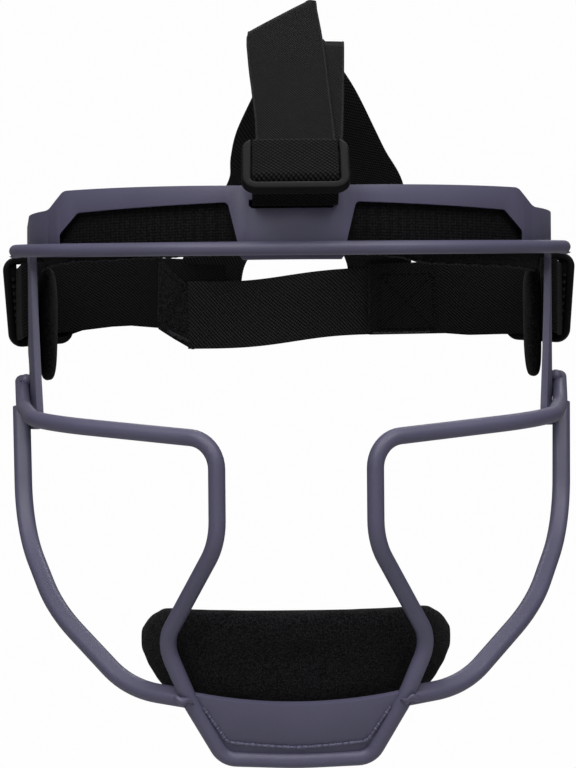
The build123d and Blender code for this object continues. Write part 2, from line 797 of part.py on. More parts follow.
def build():
    """Every sub-part by its name."""
    plate = forehead_plate()
    brow = brow_wire()
    face = face_wire()
    chin = chin_plate(face)
    bars = [jaw_bar(side, plate, face) for side in (-1, 1)]
    parts = {
        "forehead_plate": plate,
        "brow_wire": brow,
        "face_wire": face,
        "chin_plate": chin,
        "brow_welds": brow_beads(plate, brow),
        "temple_welds": temple_beads(plate, face),
        "jaw_welds": jaw_beads(plate, face, bars),
        "chin_weld": chin_bead(face, chin),
        "forehead_pad": forehead_pad(),
        "chin_pad": chin_pad(),
        "chin_hook_patch": chin_hook(),
        "crown_strap": crown_strap(),
        "crown_adjuster": crown_adjuster(),
        "crown_yoke": crown_yoke(),
        "rear_strap": rear_strap(),
    }
    for side, name, bar in ((-1, "left", bars[0]), (1, "right", bars[1])):
        parts["jaw_bar_" + name] = bar
        parts["forehead_hook_strip_" + name] = forehead_hook(side)
        parts["temple_hook_patch_" + name] = temple_hook(side)
        parts["temple_pad_" + name] = temple_pad(side)
        parts["side_strap_" + name] = side_strap(side)
        parts["side_adjuster_" + name] = side_adjuster(side)
    return parts


os.makedirs("parts", exist_ok=True)
for name, shape in build().items():
    export_step(shape, "parts/" + name + ".step")
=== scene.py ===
"""Looks of a softball fielder's face guard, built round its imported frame.

All shapes are worked out in millimetres in the frame's own axes and put into meshes in metres:
+Z is up, the wearer looks along -Y, and the origin is the middle of the forehead pad's inner face.
"""

import math

import bmesh
import bpy
import numpy as np
from mathutils import Matrix


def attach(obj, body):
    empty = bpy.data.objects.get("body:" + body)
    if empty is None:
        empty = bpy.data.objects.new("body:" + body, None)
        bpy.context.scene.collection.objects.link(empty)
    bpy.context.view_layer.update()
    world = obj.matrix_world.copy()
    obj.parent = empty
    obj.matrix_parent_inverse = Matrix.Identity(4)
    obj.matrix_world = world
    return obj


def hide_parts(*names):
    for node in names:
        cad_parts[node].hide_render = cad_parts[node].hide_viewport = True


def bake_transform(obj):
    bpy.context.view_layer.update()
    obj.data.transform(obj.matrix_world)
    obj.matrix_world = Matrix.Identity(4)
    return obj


bl_info = {
    "name": "Softball face guard",
    "version": (1, 0, 0),
    "blender": (4, 5, 0),
    "location": "3D View > Sidebar > Face guard",
    "description": "Builds the steel, webbing, adjusters and pads of a fielder's face guard",
    "category": "Object",
}

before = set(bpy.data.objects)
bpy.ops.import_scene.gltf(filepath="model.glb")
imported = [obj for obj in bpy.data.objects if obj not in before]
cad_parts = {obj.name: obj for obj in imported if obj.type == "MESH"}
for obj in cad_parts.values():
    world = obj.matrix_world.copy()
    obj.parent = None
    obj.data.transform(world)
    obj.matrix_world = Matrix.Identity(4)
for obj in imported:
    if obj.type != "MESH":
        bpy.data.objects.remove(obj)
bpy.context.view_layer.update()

MM = 0.001
TAU = 2 * math.pi


# Arrays


def unit(vectors):
    """Each vector divided by its own length."""
    vectors = np.asarray(vectors, float)
    return vectors / np.linalg.norm(vectors, axis=-1, keepdims=True)


def xyz(x, y, z):
    """The points of these coordinates, where a single number stands for every point."""
    return np.stack(np.broadcast_arrays(x, y, z), axis=-1).astype(float)


def eased(share):
    """A share from 0 to 1 that starts and ends gently: three times its square less twice its cube."""
    return share * share * (3 - 2 * share)


def lengths_along(line):
    """Distance from a line's start to each of its points."""
    steps = np.linalg.norm(np.diff(line, axis=0), axis=1)
    return np.concatenate([[0.0], np.cumsum(steps)])


def evenly(line, step):
    """The same line with its points spaced equally, about `step` apart."""
    reach = lengths_along(line)
    wanted = np.linspace(0, reach[-1], max(4, int(round(reach[-1] / step)) + 1))
    return np.stack([np.interp(wanted, reach, line[:, k]) for k in range(line.shape[1])], axis=1)


def bent(points, radii, step=0.7):
    """Straight runs joined by tangent arcs: each corner gives way to an arc of its own radius."""
    points = np.asarray(points, float)
    pieces = [points[:1]]
    for before, corner, after, radius in zip(points[:-2], points[1:-1], points[2:], radii):
        back, on = unit(before - corner), unit(after - corner)
        half = math.acos(np.clip(back @ on, -1, 1)) / 2
        centre = corner + unit(back + on) * radius / math.sin(half)
        start = corner + back * radius / math.tan(half) - centre
        end = corner + on * radius / math.tan(half) - centre
        turn = math.pi - 2 * half
        share = np.linspace(0, 1, max(8, int(turn * radius / step) + 2))[:, None]
        arc = np.sin((1 - share) * turn) * start + np.sin(share * turn) * end
        pieces.append(centre + arc / math.sin(turn))
    pieces.append(points[-1:])
    return evenly(np.concatenate(pieces), step)


def flowing(points, step=1.0):
    """A smooth line through the points: each stretch is a cubic whose end slopes are half the chord
    between the neighbours."""
    points = np.asarray(points, float)
    ends = np.concatenate([2 * points[:1] - points[1:2], points, 2 * points[-1:] - points[-2:-1]])
    share = np.linspace(0, 1, 24, endpoint=False)[None, :, None]
    p0, p1, p2, p3 = (ends[k : len(ends) - 3 + k][:, None, :] for k in range(4))
    line = 0.5 * (
        2 * p1
        + (p2 - p0) * share
        + (2 * p0 - 5 * p1 + 4 * p2 - p3) * share**2
        + (3 * p1 - p0 - 3 * p2 + p3) * share**3
    )
    return evenly(np.concatenate([line.reshape(-1, points.shape[1]), points[-1:]]), step)


def rounded(points, radii, step=0.8):
    """A closed outline with an arc at each corner."""
    points = np.asarray(points, float)
    first = (points[0] + points[-1]) / 2
    return bent(np.concatenate([first[None], points, first[None]]), radii, step)[:-1]


def block_section(width, height, power, count=48, across_power=None):
    """Outline of a rounded block: both coordinates are a turn's cosine and sine to one low power,
    unless the one across has its own."""
    turn = (np.arange(count) + 0.5) * TAU / count
    across, up = np.cos(turn), np.sin(turn)
    across = np.sign(across) * np.abs(across) ** (across_power or power)
    return np.stack([width / 2 * across, height / 2 * np.sign(up) * np.abs(up) ** power], axis=1)


def flat_section(width, thickness, count=44, edge=0.22):
    """Outline of webbing: flat, with rounded selvedges."""
    return block_section(width, thickness, edge, count, 1.0)


def circle(radius, count=10, squash=1.0):
    """Outline of a cord, which may be flattened."""
    turn = np.arange(count) * TAU / count
    return np.stack([np.cos(turn), squash * np.sin(turn)], axis=1) * radius


def scaled(section, widths, heights):
    """One section for each ring of a path, stretched by that ring's width and height."""
    return section[None] * np.stack(np.broadcast_arrays(widths, heights), axis=1)[:, None, :]


def carried(section, path, across):
    """A profile carried along a path: each ring is the path's point, plus the profile's first
    coordinate across it and its second along the tangent turned a quarter about that."""
    tangent = unit(np.gradient(path, axis=0))
    across = np.broadcast_to(np.asarray(across, float), path.shape)
    across = unit(across - tangent * np.sum(across * tangent, axis=1, keepdims=True))
    out = np.cross(tangent, across)
    section = np.broadcast_to(section, (len(path),) + np.shape(section)[-2:])
    sides = section[:, :, :1] * across[:, None, :] + section[:, :, 1:] * out[:, None, :]
    return path[:, None, :] + sides


# Meshes


def linked(name, data):
    """An object of this data, put into the scene."""
    obj = bpy.data.objects.new(name, data)
    bpy.context.scene.collection.objects.link(obj)
    return obj


def points_of(obj):
    """A piece's points in millimetres."""
    points = np.zeros(len(obj.data.vertices) * 3)
    obj.data.vertices.foreach_get("co", points)
    return points.reshape(-1, 3) / MM


def move_points(obj, points):
    """Puts a piece's points at these places in millimetres."""
    obj.data.vertices.foreach_set("co", (points * MM).ravel())


def finish_mesh(name, vertices, faces, corners, smooth_angle):
    """An object at the origin from points in millimetres, faces and a UV in metres for each corner."""
    mesh = bpy.data.meshes.new(name)
    mesh.from_pydata((vertices * MM).tolist(), [], faces)
    layer = mesh.uv_layers.new(name="Cloth")
    layer.data.foreach_set("uv", (corners * MM).astype(np.float32).ravel())
    bm = bmesh.new()
    bm.from_mesh(mesh)
    bmesh.ops.recalc_face_normals(bm, faces=bm.faces)
    bm.to_mesh(mesh)
    bm.free()
    mesh.shade_smooth()
    mesh.set_sharp_from_angle(angle=math.radians(smooth_angle))
    return linked(name, mesh)


def skin(name, rings, along=None, hoop=False):
    """A closed skin over rings of points, with a flat cap at each end unless the rings close on
    themselves as a hoop. Its UVs are the distances round a ring and along the rings, so a weave
    keeps its size, or the given distance along."""
    rows, columns = rings.shape[:2]
    spans = rows if hoop else rows - 1
    i, j = np.arange(spans)[:, None], np.arange(columns)[None, :]
    after = (j + 1) % columns
    near, far = i * columns, (i + 1) % rows * columns
    faces = np.stack([near + j, near + after, far + after, far + j], axis=-1).reshape(-1, 4).tolist()
    middle = rings[0 if hoop else rows // 2]
    around = lengths_along(np.concatenate([middle, middle[:1]]))
    if along is None:
        centres = rings.mean(axis=1)
        centres = np.concatenate([centres, centres[: int(hoop)]])
        along = np.broadcast_to(lengths_along(centres)[:, None], (spans + 1, columns))
    start, end = (np.broadcast_to(part, (spans, columns)) for part in (around[:-1], around[1:]))
    turned = np.roll(along, -1, axis=1)
    pairs = ((start, along[:-1]), (end, turned[:-1]), (end, turned[1:]), (start, along[1:]))
    corners = [np.stack([np.stack(pair, -1) for pair in pairs], axis=2).reshape(-1, 2)]
    if not hoop:
        faces += [list(range(columns))[::-1], list(range(spans * columns, rows * columns))]
        corners.append(np.stack([around[:-1], along[0]], axis=1)[::-1])
        corners.append(np.stack([around[:-1], along[-1]], axis=1))
    return finish_mesh(name, rings.reshape(-1, 3), faces, np.concatenate(corners), 50)


def joined(name, objects):
    """One object from several, whose meshes already lie in place."""
    bm = bmesh.new()
    for obj in objects:
        bm.from_mesh(obj.data)
        bpy.data.objects.remove(obj)
    mesh = bpy.data.meshes.new(name)
    bm.to_mesh(mesh)
    bm.free()
    return linked(name, mesh)


def dress(obj, context, kind, body=None, nodes=()):
    """Gives a piece its finish, and puts it on a body in place of CAD nodes."""
    obj.data.materials.clear()
    obj.data.materials.append(finish_of(context, kind))
    if body:
        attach(obj, body)
    if nodes:
        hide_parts(*nodes)
    return obj


def stitch_lines(name, lines, normal, pitch=2.6, gap=0.7, radius=0.22):
    """Lock stitches of one pitch along several straight lines: each is a six-sided thread, thinner
    towards its ends, which bows out of the cloth as a half sine."""
    starts, ends = [], []
    for a, b in lines:
        a, b = np.asarray(a, float), np.asarray(b, float)
        count = max(1, int(round(np.linalg.norm(b - a) / pitch)))
        share = np.arange(count)[:, None] / count
        stitch = (b - a) / count
        starts.append(a + (b - a) * share + stitch * gap / pitch / 2)
        ends.append(a + (b - a) * share + stitch * (1 - gap / pitch / 2))
    starts, ends = np.concatenate(starts), np.concatenate(ends)
    share = np.array([0.0, 0.12, 0.35, 0.65, 0.88, 1.0])
    swell = np.array([0.35, 0.85, 1.0, 1.0, 0.85, 0.35])
    along = unit(ends - starts)
    side = unit(np.cross(np.broadcast_to(normal, starts.shape), along))
    up = np.cross(along, side)
    bow = radius * 0.9 * np.sin(share * math.pi)
    centre = starts[:, None] + (ends - starts)[:, None] * share[:, None] + up[:, None] * bow[:, None]
    ring = circle(radius, 6)[:, :, None]
    ring = ring[None, :, 0] * side[:, None] + ring[None, :, 1] * up[:, None]
    points = centre[:, :, None] + ring[:, None] * swell[:, None, None]
    count, rows, columns = points.shape[:3]
    i, j = np.arange(rows - 1)[:, None] * columns, np.arange(columns)
    after = (j + 1) % columns
    one = np.stack([i + j, i + after, i + columns + after, i + columns + j], axis=-1).reshape(-1, 4)
    offset = (np.arange(count) * rows * columns)[:, None]
    faces = (one[None] + offset[..., None]).reshape(-1, 4).tolist()
    faces += (j + offset).tolist() + (j + (rows - 1) * columns + offset).tolist()
    corners = np.zeros((sum(len(face) for face in faces), 2))
    return finish_mesh(name, points.reshape(-1, 3), faces, corners, 60)


# The frame's own sizes, repeated in millimetres

FRONT_RADIUS = 112.0
CORNER_RADIUS = 50.0
HALF_TURN = math.radians(38.0)
FLARE = math.radians(8.0)
ALONG_LOBE = np.array([math.sin(FLARE), math.cos(FLARE)])
PLATE_FRONT = -12.0
STRAP_WIDTH = 25.4
STRAP_THICKNESS = 1.4
STRAP_DROP = 19.5
SLOT_HEIGHT = 4.65
TAIL_BACK = -8.27
RIDGE = np.array([0.0, 50.0, 74.0])
CROWN_SLIDE = np.array([0.0, -19.4, 15.9])
CROWN_RUN = unit(RIDGE - CROWN_SLIDE)
CROWN_AHEAD = np.array([0.0, -CROWN_RUN[2], CROWN_RUN[1]])
# the crown adjuster leans a little more than the strap's run
TILT = math.radians(5.0)
ADJUSTER_RUN = CROWN_RUN * math.cos(TILT) + CROWN_AHEAD * math.sin(TILT)
ADJUSTER_FRONT = CROWN_AHEAD * math.cos(TILT) - CROWN_RUN * math.sin(TILT)
CHIN_FRONT, CHIN_DROP, CHIN_LEAN = 30.3, 160.6, math.radians(20.0)
SIDES = ((1, "right"), (-1, "left"))


def plan_line(depth, run, step=1.0):
    """Line round the brow in plan, `depth` inside the plate: an arc, a tighter arc at each temple
    and a straight flaring stretch."""

    def arc(centre, radius, start, end):
        turn = np.linspace(start, end, 60)
        return centre + radius * np.stack([np.sin(turn), -np.cos(turn)], axis=1)

    middle = np.array([0.0, PLATE_FRONT + FRONT_RADIUS])
    front = arc(middle, FRONT_RADIUS - depth, 0, HALF_TURN)
    arm = (FRONT_RADIUS - CORNER_RADIUS) * np.array([math.sin(HALF_TURN), -math.cos(HALF_TURN)])
    corner = arc(middle + arm, CORNER_RADIUS - depth, HALF_TURN, math.pi / 2 - FLARE)[1:]
    right = np.concatenate([front, corner, corner[-1:] + run * ALONG_LOBE])
    return evenly(np.concatenate([right[:0:-1] * [-1, 1], right]), step)


def temple(run, depth):
    """Point on the right lobe in plan, `run` along it and `depth` inside its face."""
    inward = np.array([-math.cos(FLARE), math.sin(FLARE)])
    return plan_line(0, 0, 0.2)[-1] + run * ALONG_LOBE + depth * inward


def chin_point(x, back, up):
    """Point of the leaning chin, `back` behind its upright plane and `up` along it."""
    lean, rise = math.cos(CHIN_LEAN), math.sin(CHIN_LEAN)
    return xyz(x, -CHIN_FRONT + back * lean - up * rise, -CHIN_DROP + back * rise + up * lean)


SIDE_START = np.append(temple(53.9, 4.6), -STRAP_DROP)
REAR_JOINT = np.array([37.0, 121.0, -STRAP_DROP])
SIDE_RUN = unit(REAR_JOINT - SIDE_START)
SIDE_BACK = np.array([SIDE_RUN[1], -SIDE_RUN[0], 0.0])
SIDE_REACH = (REAR_JOINT[0] - SIDE_START[0]) / SIDE_RUN[0]


def side_place(along, back, z=-STRAP_DROP):
    """Point by the right side strap's run: `along` it from the adjuster, and `back` behind it."""
    return np.append((SIDE_START + along * SIDE_RUN + back * SIDE_BACK)[:2], z)


def by_adjuster(up, out):
    """Point at the crown adjuster, `up` along it and `out` of its front."""
    return CROWN_SLIDE + (up - 0.8) * ADJUSTER_RUN + out * ADJUSTER_FRONT


def flipped(points, side):
    """The points on the given side: x times 1 on the right and -1 on the left."""
    return np.asarray(points, float) * np.array([side, 1.0, 1.0])


# Materials


def linear(hex_colour):
    """An sRGB hex colour as linear red, green, blue and alpha."""
    values = [int(hex_colour[k : k + 2], 16) / 255 for k in (1, 3, 5)]
    return [v / 12.92 if v <= 0.04045 else ((v + 0.055) / 1.055) ** 2.4 for v in values] + [1.0]


def hex_of(colour):
    """A colour property as an sRGB hex."""
    return "#" + "".join(f"{int(round(max(0.0, min(1.0, v)) * 255)):02x}" for v in colour)


def add_node(tree, kind, values=None, links=None, **settings):
    """Adds a node, sets its properties and its sockets' values, and links its sockets to others."""
    node = tree.nodes.new(kind)
    for name, value in settings.items():
        setattr(node, name, value)
    for socket, value in (values or {}).items():
        node.inputs[socket].default_value = value
    for socket, source in (links or {}).items():
        tree.links.new(source, node.inputs[socket])
    return node


def new_material(name):
    """An empty node material and its tree."""
    material = bpy.data.materials.new(name)
    material.use_nodes = True
    material.node_tree.nodes.clear()
    return material, material.node_tree


def own_place(tree):
    """The place in the piece's own coordinates."""
    return add_node(tree, "ShaderNodeTexCoord").outputs["Object"]


def noise(tree, place, scale, detail, roughness=0.5, distortion=0.0):
    """Fractal noise."""
    values = {"Scale": scale, "Detail": detail, "Roughness": roughness, "Distortion": distortion}
    return add_node(tree, "ShaderNodeTexNoise", values, {"Vector": place}).outputs["Fac"]


def cells(tree, place, scale, randomness):
    """Distance from the middle of the nearest cell."""
    values = {"Scale": scale, "Randomness": randomness}
    return add_node(tree, "ShaderNodeTexVoronoi", values, {"Vector": place}).outputs["Distance"]


def stripes(tree, place, pitch, direction):
    """Slightly uneven parallel waves of one pitch."""
    values = {"Scale": TAU / 20 / pitch, "Distortion": 0.5, "Detail": 1.0, "Detail Scale": 3.0}
    wave = add_node(tree, "ShaderNodeTexWave", values, {"Vector": place}, bands_direction=direction)
    return wave.outputs["Fac"]


def math_of(tree, operation, first, second, third=None):
    """A calculation with values that are numbers or other nodes' outputs."""
    given = {k: v for k, v in enumerate((first, second, third)) if v is not None}
    values = {k: v for k, v in given.items() if isinstance(v, float)}
    links = {k: v for k, v in given.items() if k not in values}
    return add_node(tree, "ShaderNodeMath", values, links, operation=operation).outputs[0]


def ranged(tree, value, low, high, new_low=0.0, new_high=1.0):
    """The value's range stretched to a new one."""
    values = {"From Min": low, "From Max": high, "To Min": new_low, "To Max": new_high}
    return add_node(tree, "ShaderNodeMapRange", values, {"Value": value}).outputs[0]


def two_tones(tree, share, colour, tones, places=(0.0, 1.0)):
    """A blend between two shares of one colour."""
    ramp = add_node(tree, "ShaderNodeValToRGB", None, {"Fac": share})
    for element, place, tone in zip(ramp.color_ramp.elements, places, tones):
        element.position = place
        element.color = [*(np.array(colour[:3]) * tone), 1]
    return ramp.outputs["Color"]


def output(tree, shader, kind="Material"):
    """Links a shader to the tree's output."""
    add_node(tree, "ShaderNodeOutput" + kind, None, {"Surface": shader})


def coated(tree, colour, height, strength, depth, values, roughness=None):
    """Completes a material: a principled shader of this colour, with bumps up to `depth` metres."""
    bumps = {"Strength": strength, "Distance": depth}
    normal = add_node(tree, "ShaderNodeBump", bumps, {"Height": height}).outputs[0]
    links = {"Base Color": colour, "Normal": normal}
    if roughness:
        links["Roughness"] = roughness
    output(tree, add_node(tree, "ShaderNodeBsdfPrincipled", values, links).outputs[0])


def powder_coat(name, colour, grain):
    """Polyester powder baked on steel: a satin film with a fine orange peel and a little mottling."""
    material, tree = new_material(name)
    place = own_place(tree)
    peel = noise(tree, place, 1 / grain, 2.0, 0.45)
    speck = noise(tree, place, 2.6 / grain, 3.0, 0.6)
    tone = two_tones(tree, noise(tree, place, 34.0, 2.0), colour, (0.93, 1.07), (0.3, 0.7))
    gloss = ranged(tree, speck, 0.3, 0.7, 0.4, 0.5)
    height = math_of(tree, "MULTIPLY_ADD", speck, 0.35, peel)
    coated(tree, tone, height, 0.22, 0.00025, {"IOR": 1.5, "Specular IOR Level": 0.35}, gloss)
    return material


def webbing(name, colour, thread, slant, rib, painted_thread_highlight, depth):
    """Polyester-covered elastic: its threads cross the strap at a slant in a twill, with a ribbed
    pitch along it, and its yarn has a soft sheen and no gloss. Its raised threads are painted
    lighter as highlights and its grooves darker as shade."""
    material, tree = new_material(name)
    uv = add_node(tree, "ShaderNodeUVMap", uv_map="Cloth").outputs["UV"]
    turn = {"Rotation": (0, 0, math.radians(slant))}
    turned = add_node(tree, "ShaderNodeMapping", turn, {"Vector": uv}).outputs[0]
    yarn = noise(tree, uv, 2400.0, 3.0, 0.65)
    grain = math_of(tree, "MULTIPLY_ADD", stripes(tree, turned, rib, "Y"), 0.45, yarn)
    height = math_of(tree, "MULTIPLY_ADD", stripes(tree, turned, thread, "X"), 0.55, grain)
    # the tone follows the weave's height: the raised threads get painted highlights and the grooves
    # painted shade
    tones = np.array([0.08, 1 + 2.3 * painted_thread_highlight]) * depth
    share = ranged(tree, height, 0.4, 1.5)
    tone = two_tones(tree, share, colour, tones, (0.2 + 0.1 * painted_thread_highlight, 0.75))
    values = {"Roughness": 0.75, "IOR": 1.45, "Specular IOR Level": 0.05, "Sheen Weight": 0.02}
    coated(tree, tone, height, 0.6, 0.0003, values)
    return material


def brushed_cloth(name, colour, nap):
    """Brushed loop knit over foam: a short nap that lies in tufts and glows faintly at its edges."""
    material, tree = new_material(name)
    place = own_place(tree)
    fibres = noise(tree, place, 2.2 / nap, 3.0, 0.7, 0.4)
    height = math_of(tree, "MULTIPLY_ADD", cells(tree, place, 1.5 / nap, 1.0), -0.25, fibres)
    tone = two_tones(tree, height, colour, (0.3, 4.6), (0.3, 0.62))
    values = {"Roughness": 0.95, "IOR": 1.4, "Specular IOR Level": 0.08, "Sheen Weight": 0.04}
    coated(tree, tone, height, 0.9, 0.0006, values)
    return material


def moulded_plastic(name, colour, grain):
    """Injection-moulded acetal: low gloss from a fine spark-eroded tool texture."""
    material, tree = new_material(name)
    place = own_place(tree)
    spark = noise(tree, place, 1 / grain, 3.0, 0.6)
    gloss = ranged(tree, spark, 0.3, 0.7, 0.44, 0.56)
    tone = two_tones(tree, spark, colour, (0.85, 1.15))
    coated(tree, tone, spark, 0.25, 0.0001, {"IOR": 1.48, "Specular IOR Level": 0.1}, gloss)
    return material


def hook_tape(name, colour, pitch):
    """Nylon hook tape: rows of stiff hooks, each painted with a glint as a small bright point on a dark
    ground.
    """
    material, tree = new_material(name)
    place = own_place(tree)
    hooks = cells(tree, place, 1 / pitch, 0.35)
    # painted light: each hook's middle is coloured brighter as a glint, and the ground between hooks
    # darker as shade
    tone = two_tones(tree, hooks, colour, (1.9, 0.5), (0.1, 0.6))
    values = {"Roughness": 0.85, "IOR": 1.53, "Specular IOR Level": 0.08}
    coated(tree, tone, hooks, 0.8, 0.0005, values)
    return material


def sewing_thread(name, colour):
    """Bonded polyester thread: a tight three-ply twist with a slight shine."""
    material, tree = new_material(name)
    place = own_place(tree)
    ply = noise(tree, place, 2600.0, 2.0)
    tone = two_tones(tree, ply, colour, (0.6, 1.5))
    values = {"Roughness": 0.7, "IOR": 1.5, "Specular IOR Level": 0.12}
    coated(tree, tone, ply, 0.4, 0.0001, values)
    return material


def seen_straight(tree):
    """1 where the camera sees a surface itself, not by its light on others."""
    path = add_node(tree, "ShaderNodeLightPath").outputs
    return math_of(tree, "MAXIMUM", path["Is Camera Ray"], path["Is Transmission Ray"])


def mixed(tree, share, first, second):
    """Two shaders mixed."""
    links = {0: share, 1: first.outputs[0], 2: second.outputs[0]}
    return add_node(tree, "ShaderNodeMixShader", None, links).outputs[0]


def studio_white(name, tint):
    """Matt paper that keeps shadows, and reads as pure white where the camera sees it straight."""
    material, tree = new_material(name)
    paper = add_node(tree, "ShaderNodeBsdfDiffuse", {"Color": linear(tint)})
    glow = add_node(tree, "ShaderNodeEmission", {"Color": (1, 1, 1, 1), "Strength": 1.0})
    share = math_of(tree, "MULTIPLY", seen_straight(tree), 0.985)
    output(tree, mixed(tree, share, paper, glow))
    return material


def finish_of(context, kind):
    """The one material of each kind, made when it is first asked for."""
    look = context.scene.guard_look
    thread, rib, nap = look.thread_pitch, look.rib_pitch, look.nap_length
    woven, edge = "woven polyester elastic", look.selvedge
    # the coarse kind is the same webbing with a looser weave, painted lighter to make up for the shade
    # on the rear strap and the yoke's legs
    close, wide, loose_painted_lighter = (
        (thread, -38.0, rib, 2.0, 0.46),
        (thread * 1.2, -48.0, rib * 1.45, 2.8, 0.34),
        (thread * 1.2, -46.0, rib * 1.1, 0.9, 1.5),
    )
    name, maker, colour, values = {
        "steel": ("powder-coated steel", powder_coat, look.steel, (look.powder_grain,)),
        "webbing": (woven, webbing, look.webbing, close),
        "stretched": (woven + ", stretched", webbing, look.webbing, wide),
        "coarse": (woven + ", coarse", webbing, look.webbing, loose_painted_lighter),
        "pad": ("brushed knit over foam", brushed_cloth, look.pad, (nap,)),
        "edging": ("overlocked polyester edge", brushed_cloth, look.edging, (nap * 0.7,)),
        "selvedge": ("bound edge of woven elastic", brushed_cloth, edge, (nap * 0.5,)),
        "reverse": ("brushed reverse of woven elastic", brushed_cloth, np.array(edge) * 0.62, (nap,)),
        "plastic": ("moulded acetal", moulded_plastic, look.plastic, (look.plastic_grain,)),
        "hooks": ("nylon hook tape", hook_tape, look.hooks, (look.hook_pitch,)),
        "thread": ("bonded polyester thread", sewing_thread, look.thread, ()),
    }[kind]
    return bpy.data.materials.get(name) or maker(name, linear(hex_of(colour)), *values)


# Soft shapes


def apply_modifiers(obj):
    """Bakes the modifiers of an object into its mesh."""
    bpy.context.view_layer.update()
    evaluated = obj.evaluated_get(bpy.context.evaluated_depsgraph_get())
    mesh = bpy.data.meshes.new_from_object(evaluated)
    obj.modifiers.clear()
    old, obj.data = obj.data, mesh
    bpy.data.meshes.remove(old)


def puffed(obj, sizes, held_back):
    """Blows the foam up under its cover: the skin is remeshed, simulated as cloth under pressure
    for twenty frames, and each point keeps only so much of its movement, less where it is held."""
    scene = bpy.context.scene
    remesh = obj.modifiers.new("Remesh", "REMESH")
    remesh.mode, remesh.voxel_size, remesh.use_smooth_shade = "VOXEL", sizes.pad_voxel, True
    apply_modifiers(obj)
    before = points_of(obj)
    cloth = obj.modifiers.new("Cloth", "CLOTH")
    cloth.settings.use_pressure = True
    cloth.settings.uniform_pressure_force = 4.0
    cloth.settings.effector_weights.gravity = 0.0
    cloth.settings.quality = 5
    cloth.settings.mass = 0.3
    cloth.point_cache.frame_start, cloth.point_cache.frame_end = 1, 20
    for number in range(1, 21):
        scene.frame_set(number)
    apply_modifiers(obj)
    scene.frame_set(1)
    moved = points_of(obj) - before
    reach = np.linalg.norm(moved, axis=1, keepdims=True)
    moved *= np.minimum(1.0, sizes.puff / MM / np.maximum(reach, 1e-6))
    move_points(obj, before + moved * held_back(before)[:, None])
    smooth = obj.modifiers.new("Smooth", "SMOOTH")
    smooth.factor, smooth.iterations = 0.5, 8
    finer = obj.modifiers.new("Subdivision", "SUBSURF")
    finer.levels = finer.render_levels = 1
    apply_modifiers(obj)
    obj.data.shade_smooth()


def pad_rings(path, across, height, thickness, end, power):
    """Rings of a crowned pad: a rounded block carried along a path, which shrinks near both ends as
    a quarter circle does."""
    reach = lengths_along(path)
    near = np.minimum(reach, reach[-1] - reach)
    shrink = np.sqrt(np.clip(1 - (1 - np.clip(near / end, 0, 1)) ** 2, 0.02, 1))
    section = block_section(1.0, 1.0, power)
    sections = scaled(section, height - 2 * end * (1 - shrink), thickness * shrink**0.6)
    return carried(sections, path, across)


def pillow(outline, thickness, rim, place, rows=26):
    """A closed cushion from an outline of (across, up) points round its middle. On the turn from
    front to back each ring is the outline shrunk by the sine to the power `rim`, and its depth is
    half the thickness times the cosine to the same power."""
    turn = np.linspace(0, math.pi, rows + 2)[1:-1]
    share = np.sin(turn) ** rim
    depth = -np.sign(np.cos(turn)) * np.abs(np.cos(turn)) ** rim * thickness / 2
    middle = outline.mean(axis=0)
    flat = middle + (outline - middle)[None] * share[:, None, None]
    return place(flat[..., 0], flat[..., 1], np.broadcast_to(depth[:, None], flat.shape[:2]))


# Properties


def tint(name, description, default):
    """A colour property."""
    return bpy.props.FloatVectorProperty(
        name=name, description=description, subtype="COLOR_GAMMA", size=3, min=0, max=1, default=default
    )


def length(name, description, default, least=0.0):
    """A length property in metres."""
    return bpy.props.FloatProperty(
        name=name, description=description, unit="LENGTH", default=default, min=least
    )


class GuardLook(bpy.types.PropertyGroup):
    """Colours and pattern sizes of the guard's materials."""

    steel: tint("Steel", "Colour of the powder coat", (0.325, 0.318, 0.4))
    webbing: tint("Webbing", "Colour of the elastic webbing", (0.06, 0.057, 0.063))
    pad: tint("Pads", "Colour of the pads' brushed cover", (0.066, 0.063, 0.072))
    plastic: tint("Adjusters", "Colour of the slide adjusters", (0.034, 0.034, 0.041))
    hooks: tint("Hook tape", "Colour of the hook tape behind the pads", (0.066, 0.063, 0.07))
    # this colour is also laid on the side straps' foot hems, where its lightness is a painted highlight
    edging: tint("Edging", "Colour of the overlocked edges and hems", (0.15, 0.145, 0.158))
    selvedge: tint("Selvedge", "Colour of the straps' bound edges", (0.118, 0.114, 0.126))
    thread: tint("Thread", "Colour of the sewing thread", (0.04, 0.04, 0.043))
    powder_grain: length("Orange peel", "Wavelength of the coat's orange peel", 0.0011, 0.0002)
    thread_pitch: length("Twill pitch", "Distance between the webbing's twill lines", 0.0009, 0.0002)
    rib_pitch: length("Rib pitch", "Distance between the ribs along the webbing", 0.0007, 0.0002)
    nap_length: length("Nap", "Size of the tufts of the pads' cover", 0.0009, 0.0002)
    plastic_grain: length("Plastic grain", "Grain of the adjusters' surface", 0.0004, 0.0001)
    hook_pitch: length("Hook pitch", "Distance between neighbouring hooks", 0.0009, 0.0005)


class GuardSizes(bpy.types.PropertyGroup):
    """Sizes of the details that the dressed pieces add."""

    wire_edge: length("Steel edge", "Rounding of the steel's cut edges", 0.0003)
    plate_edge: length("Plate edge", "Rounding of the stamped plate's edges", 0.0007)
    puff: length("Pad puff", "How far the foam may swell under its cover", 0.0012)
    pad_voxel: length("Pad voxel", "Grid that the pads are remeshed on", 0.0022, 0.001)
    lens: bpy.props.FloatProperty(
        name="Lens", description="Focal length of the camera", unit="CAMERA", default=89.9, min=10
    )


# Steel


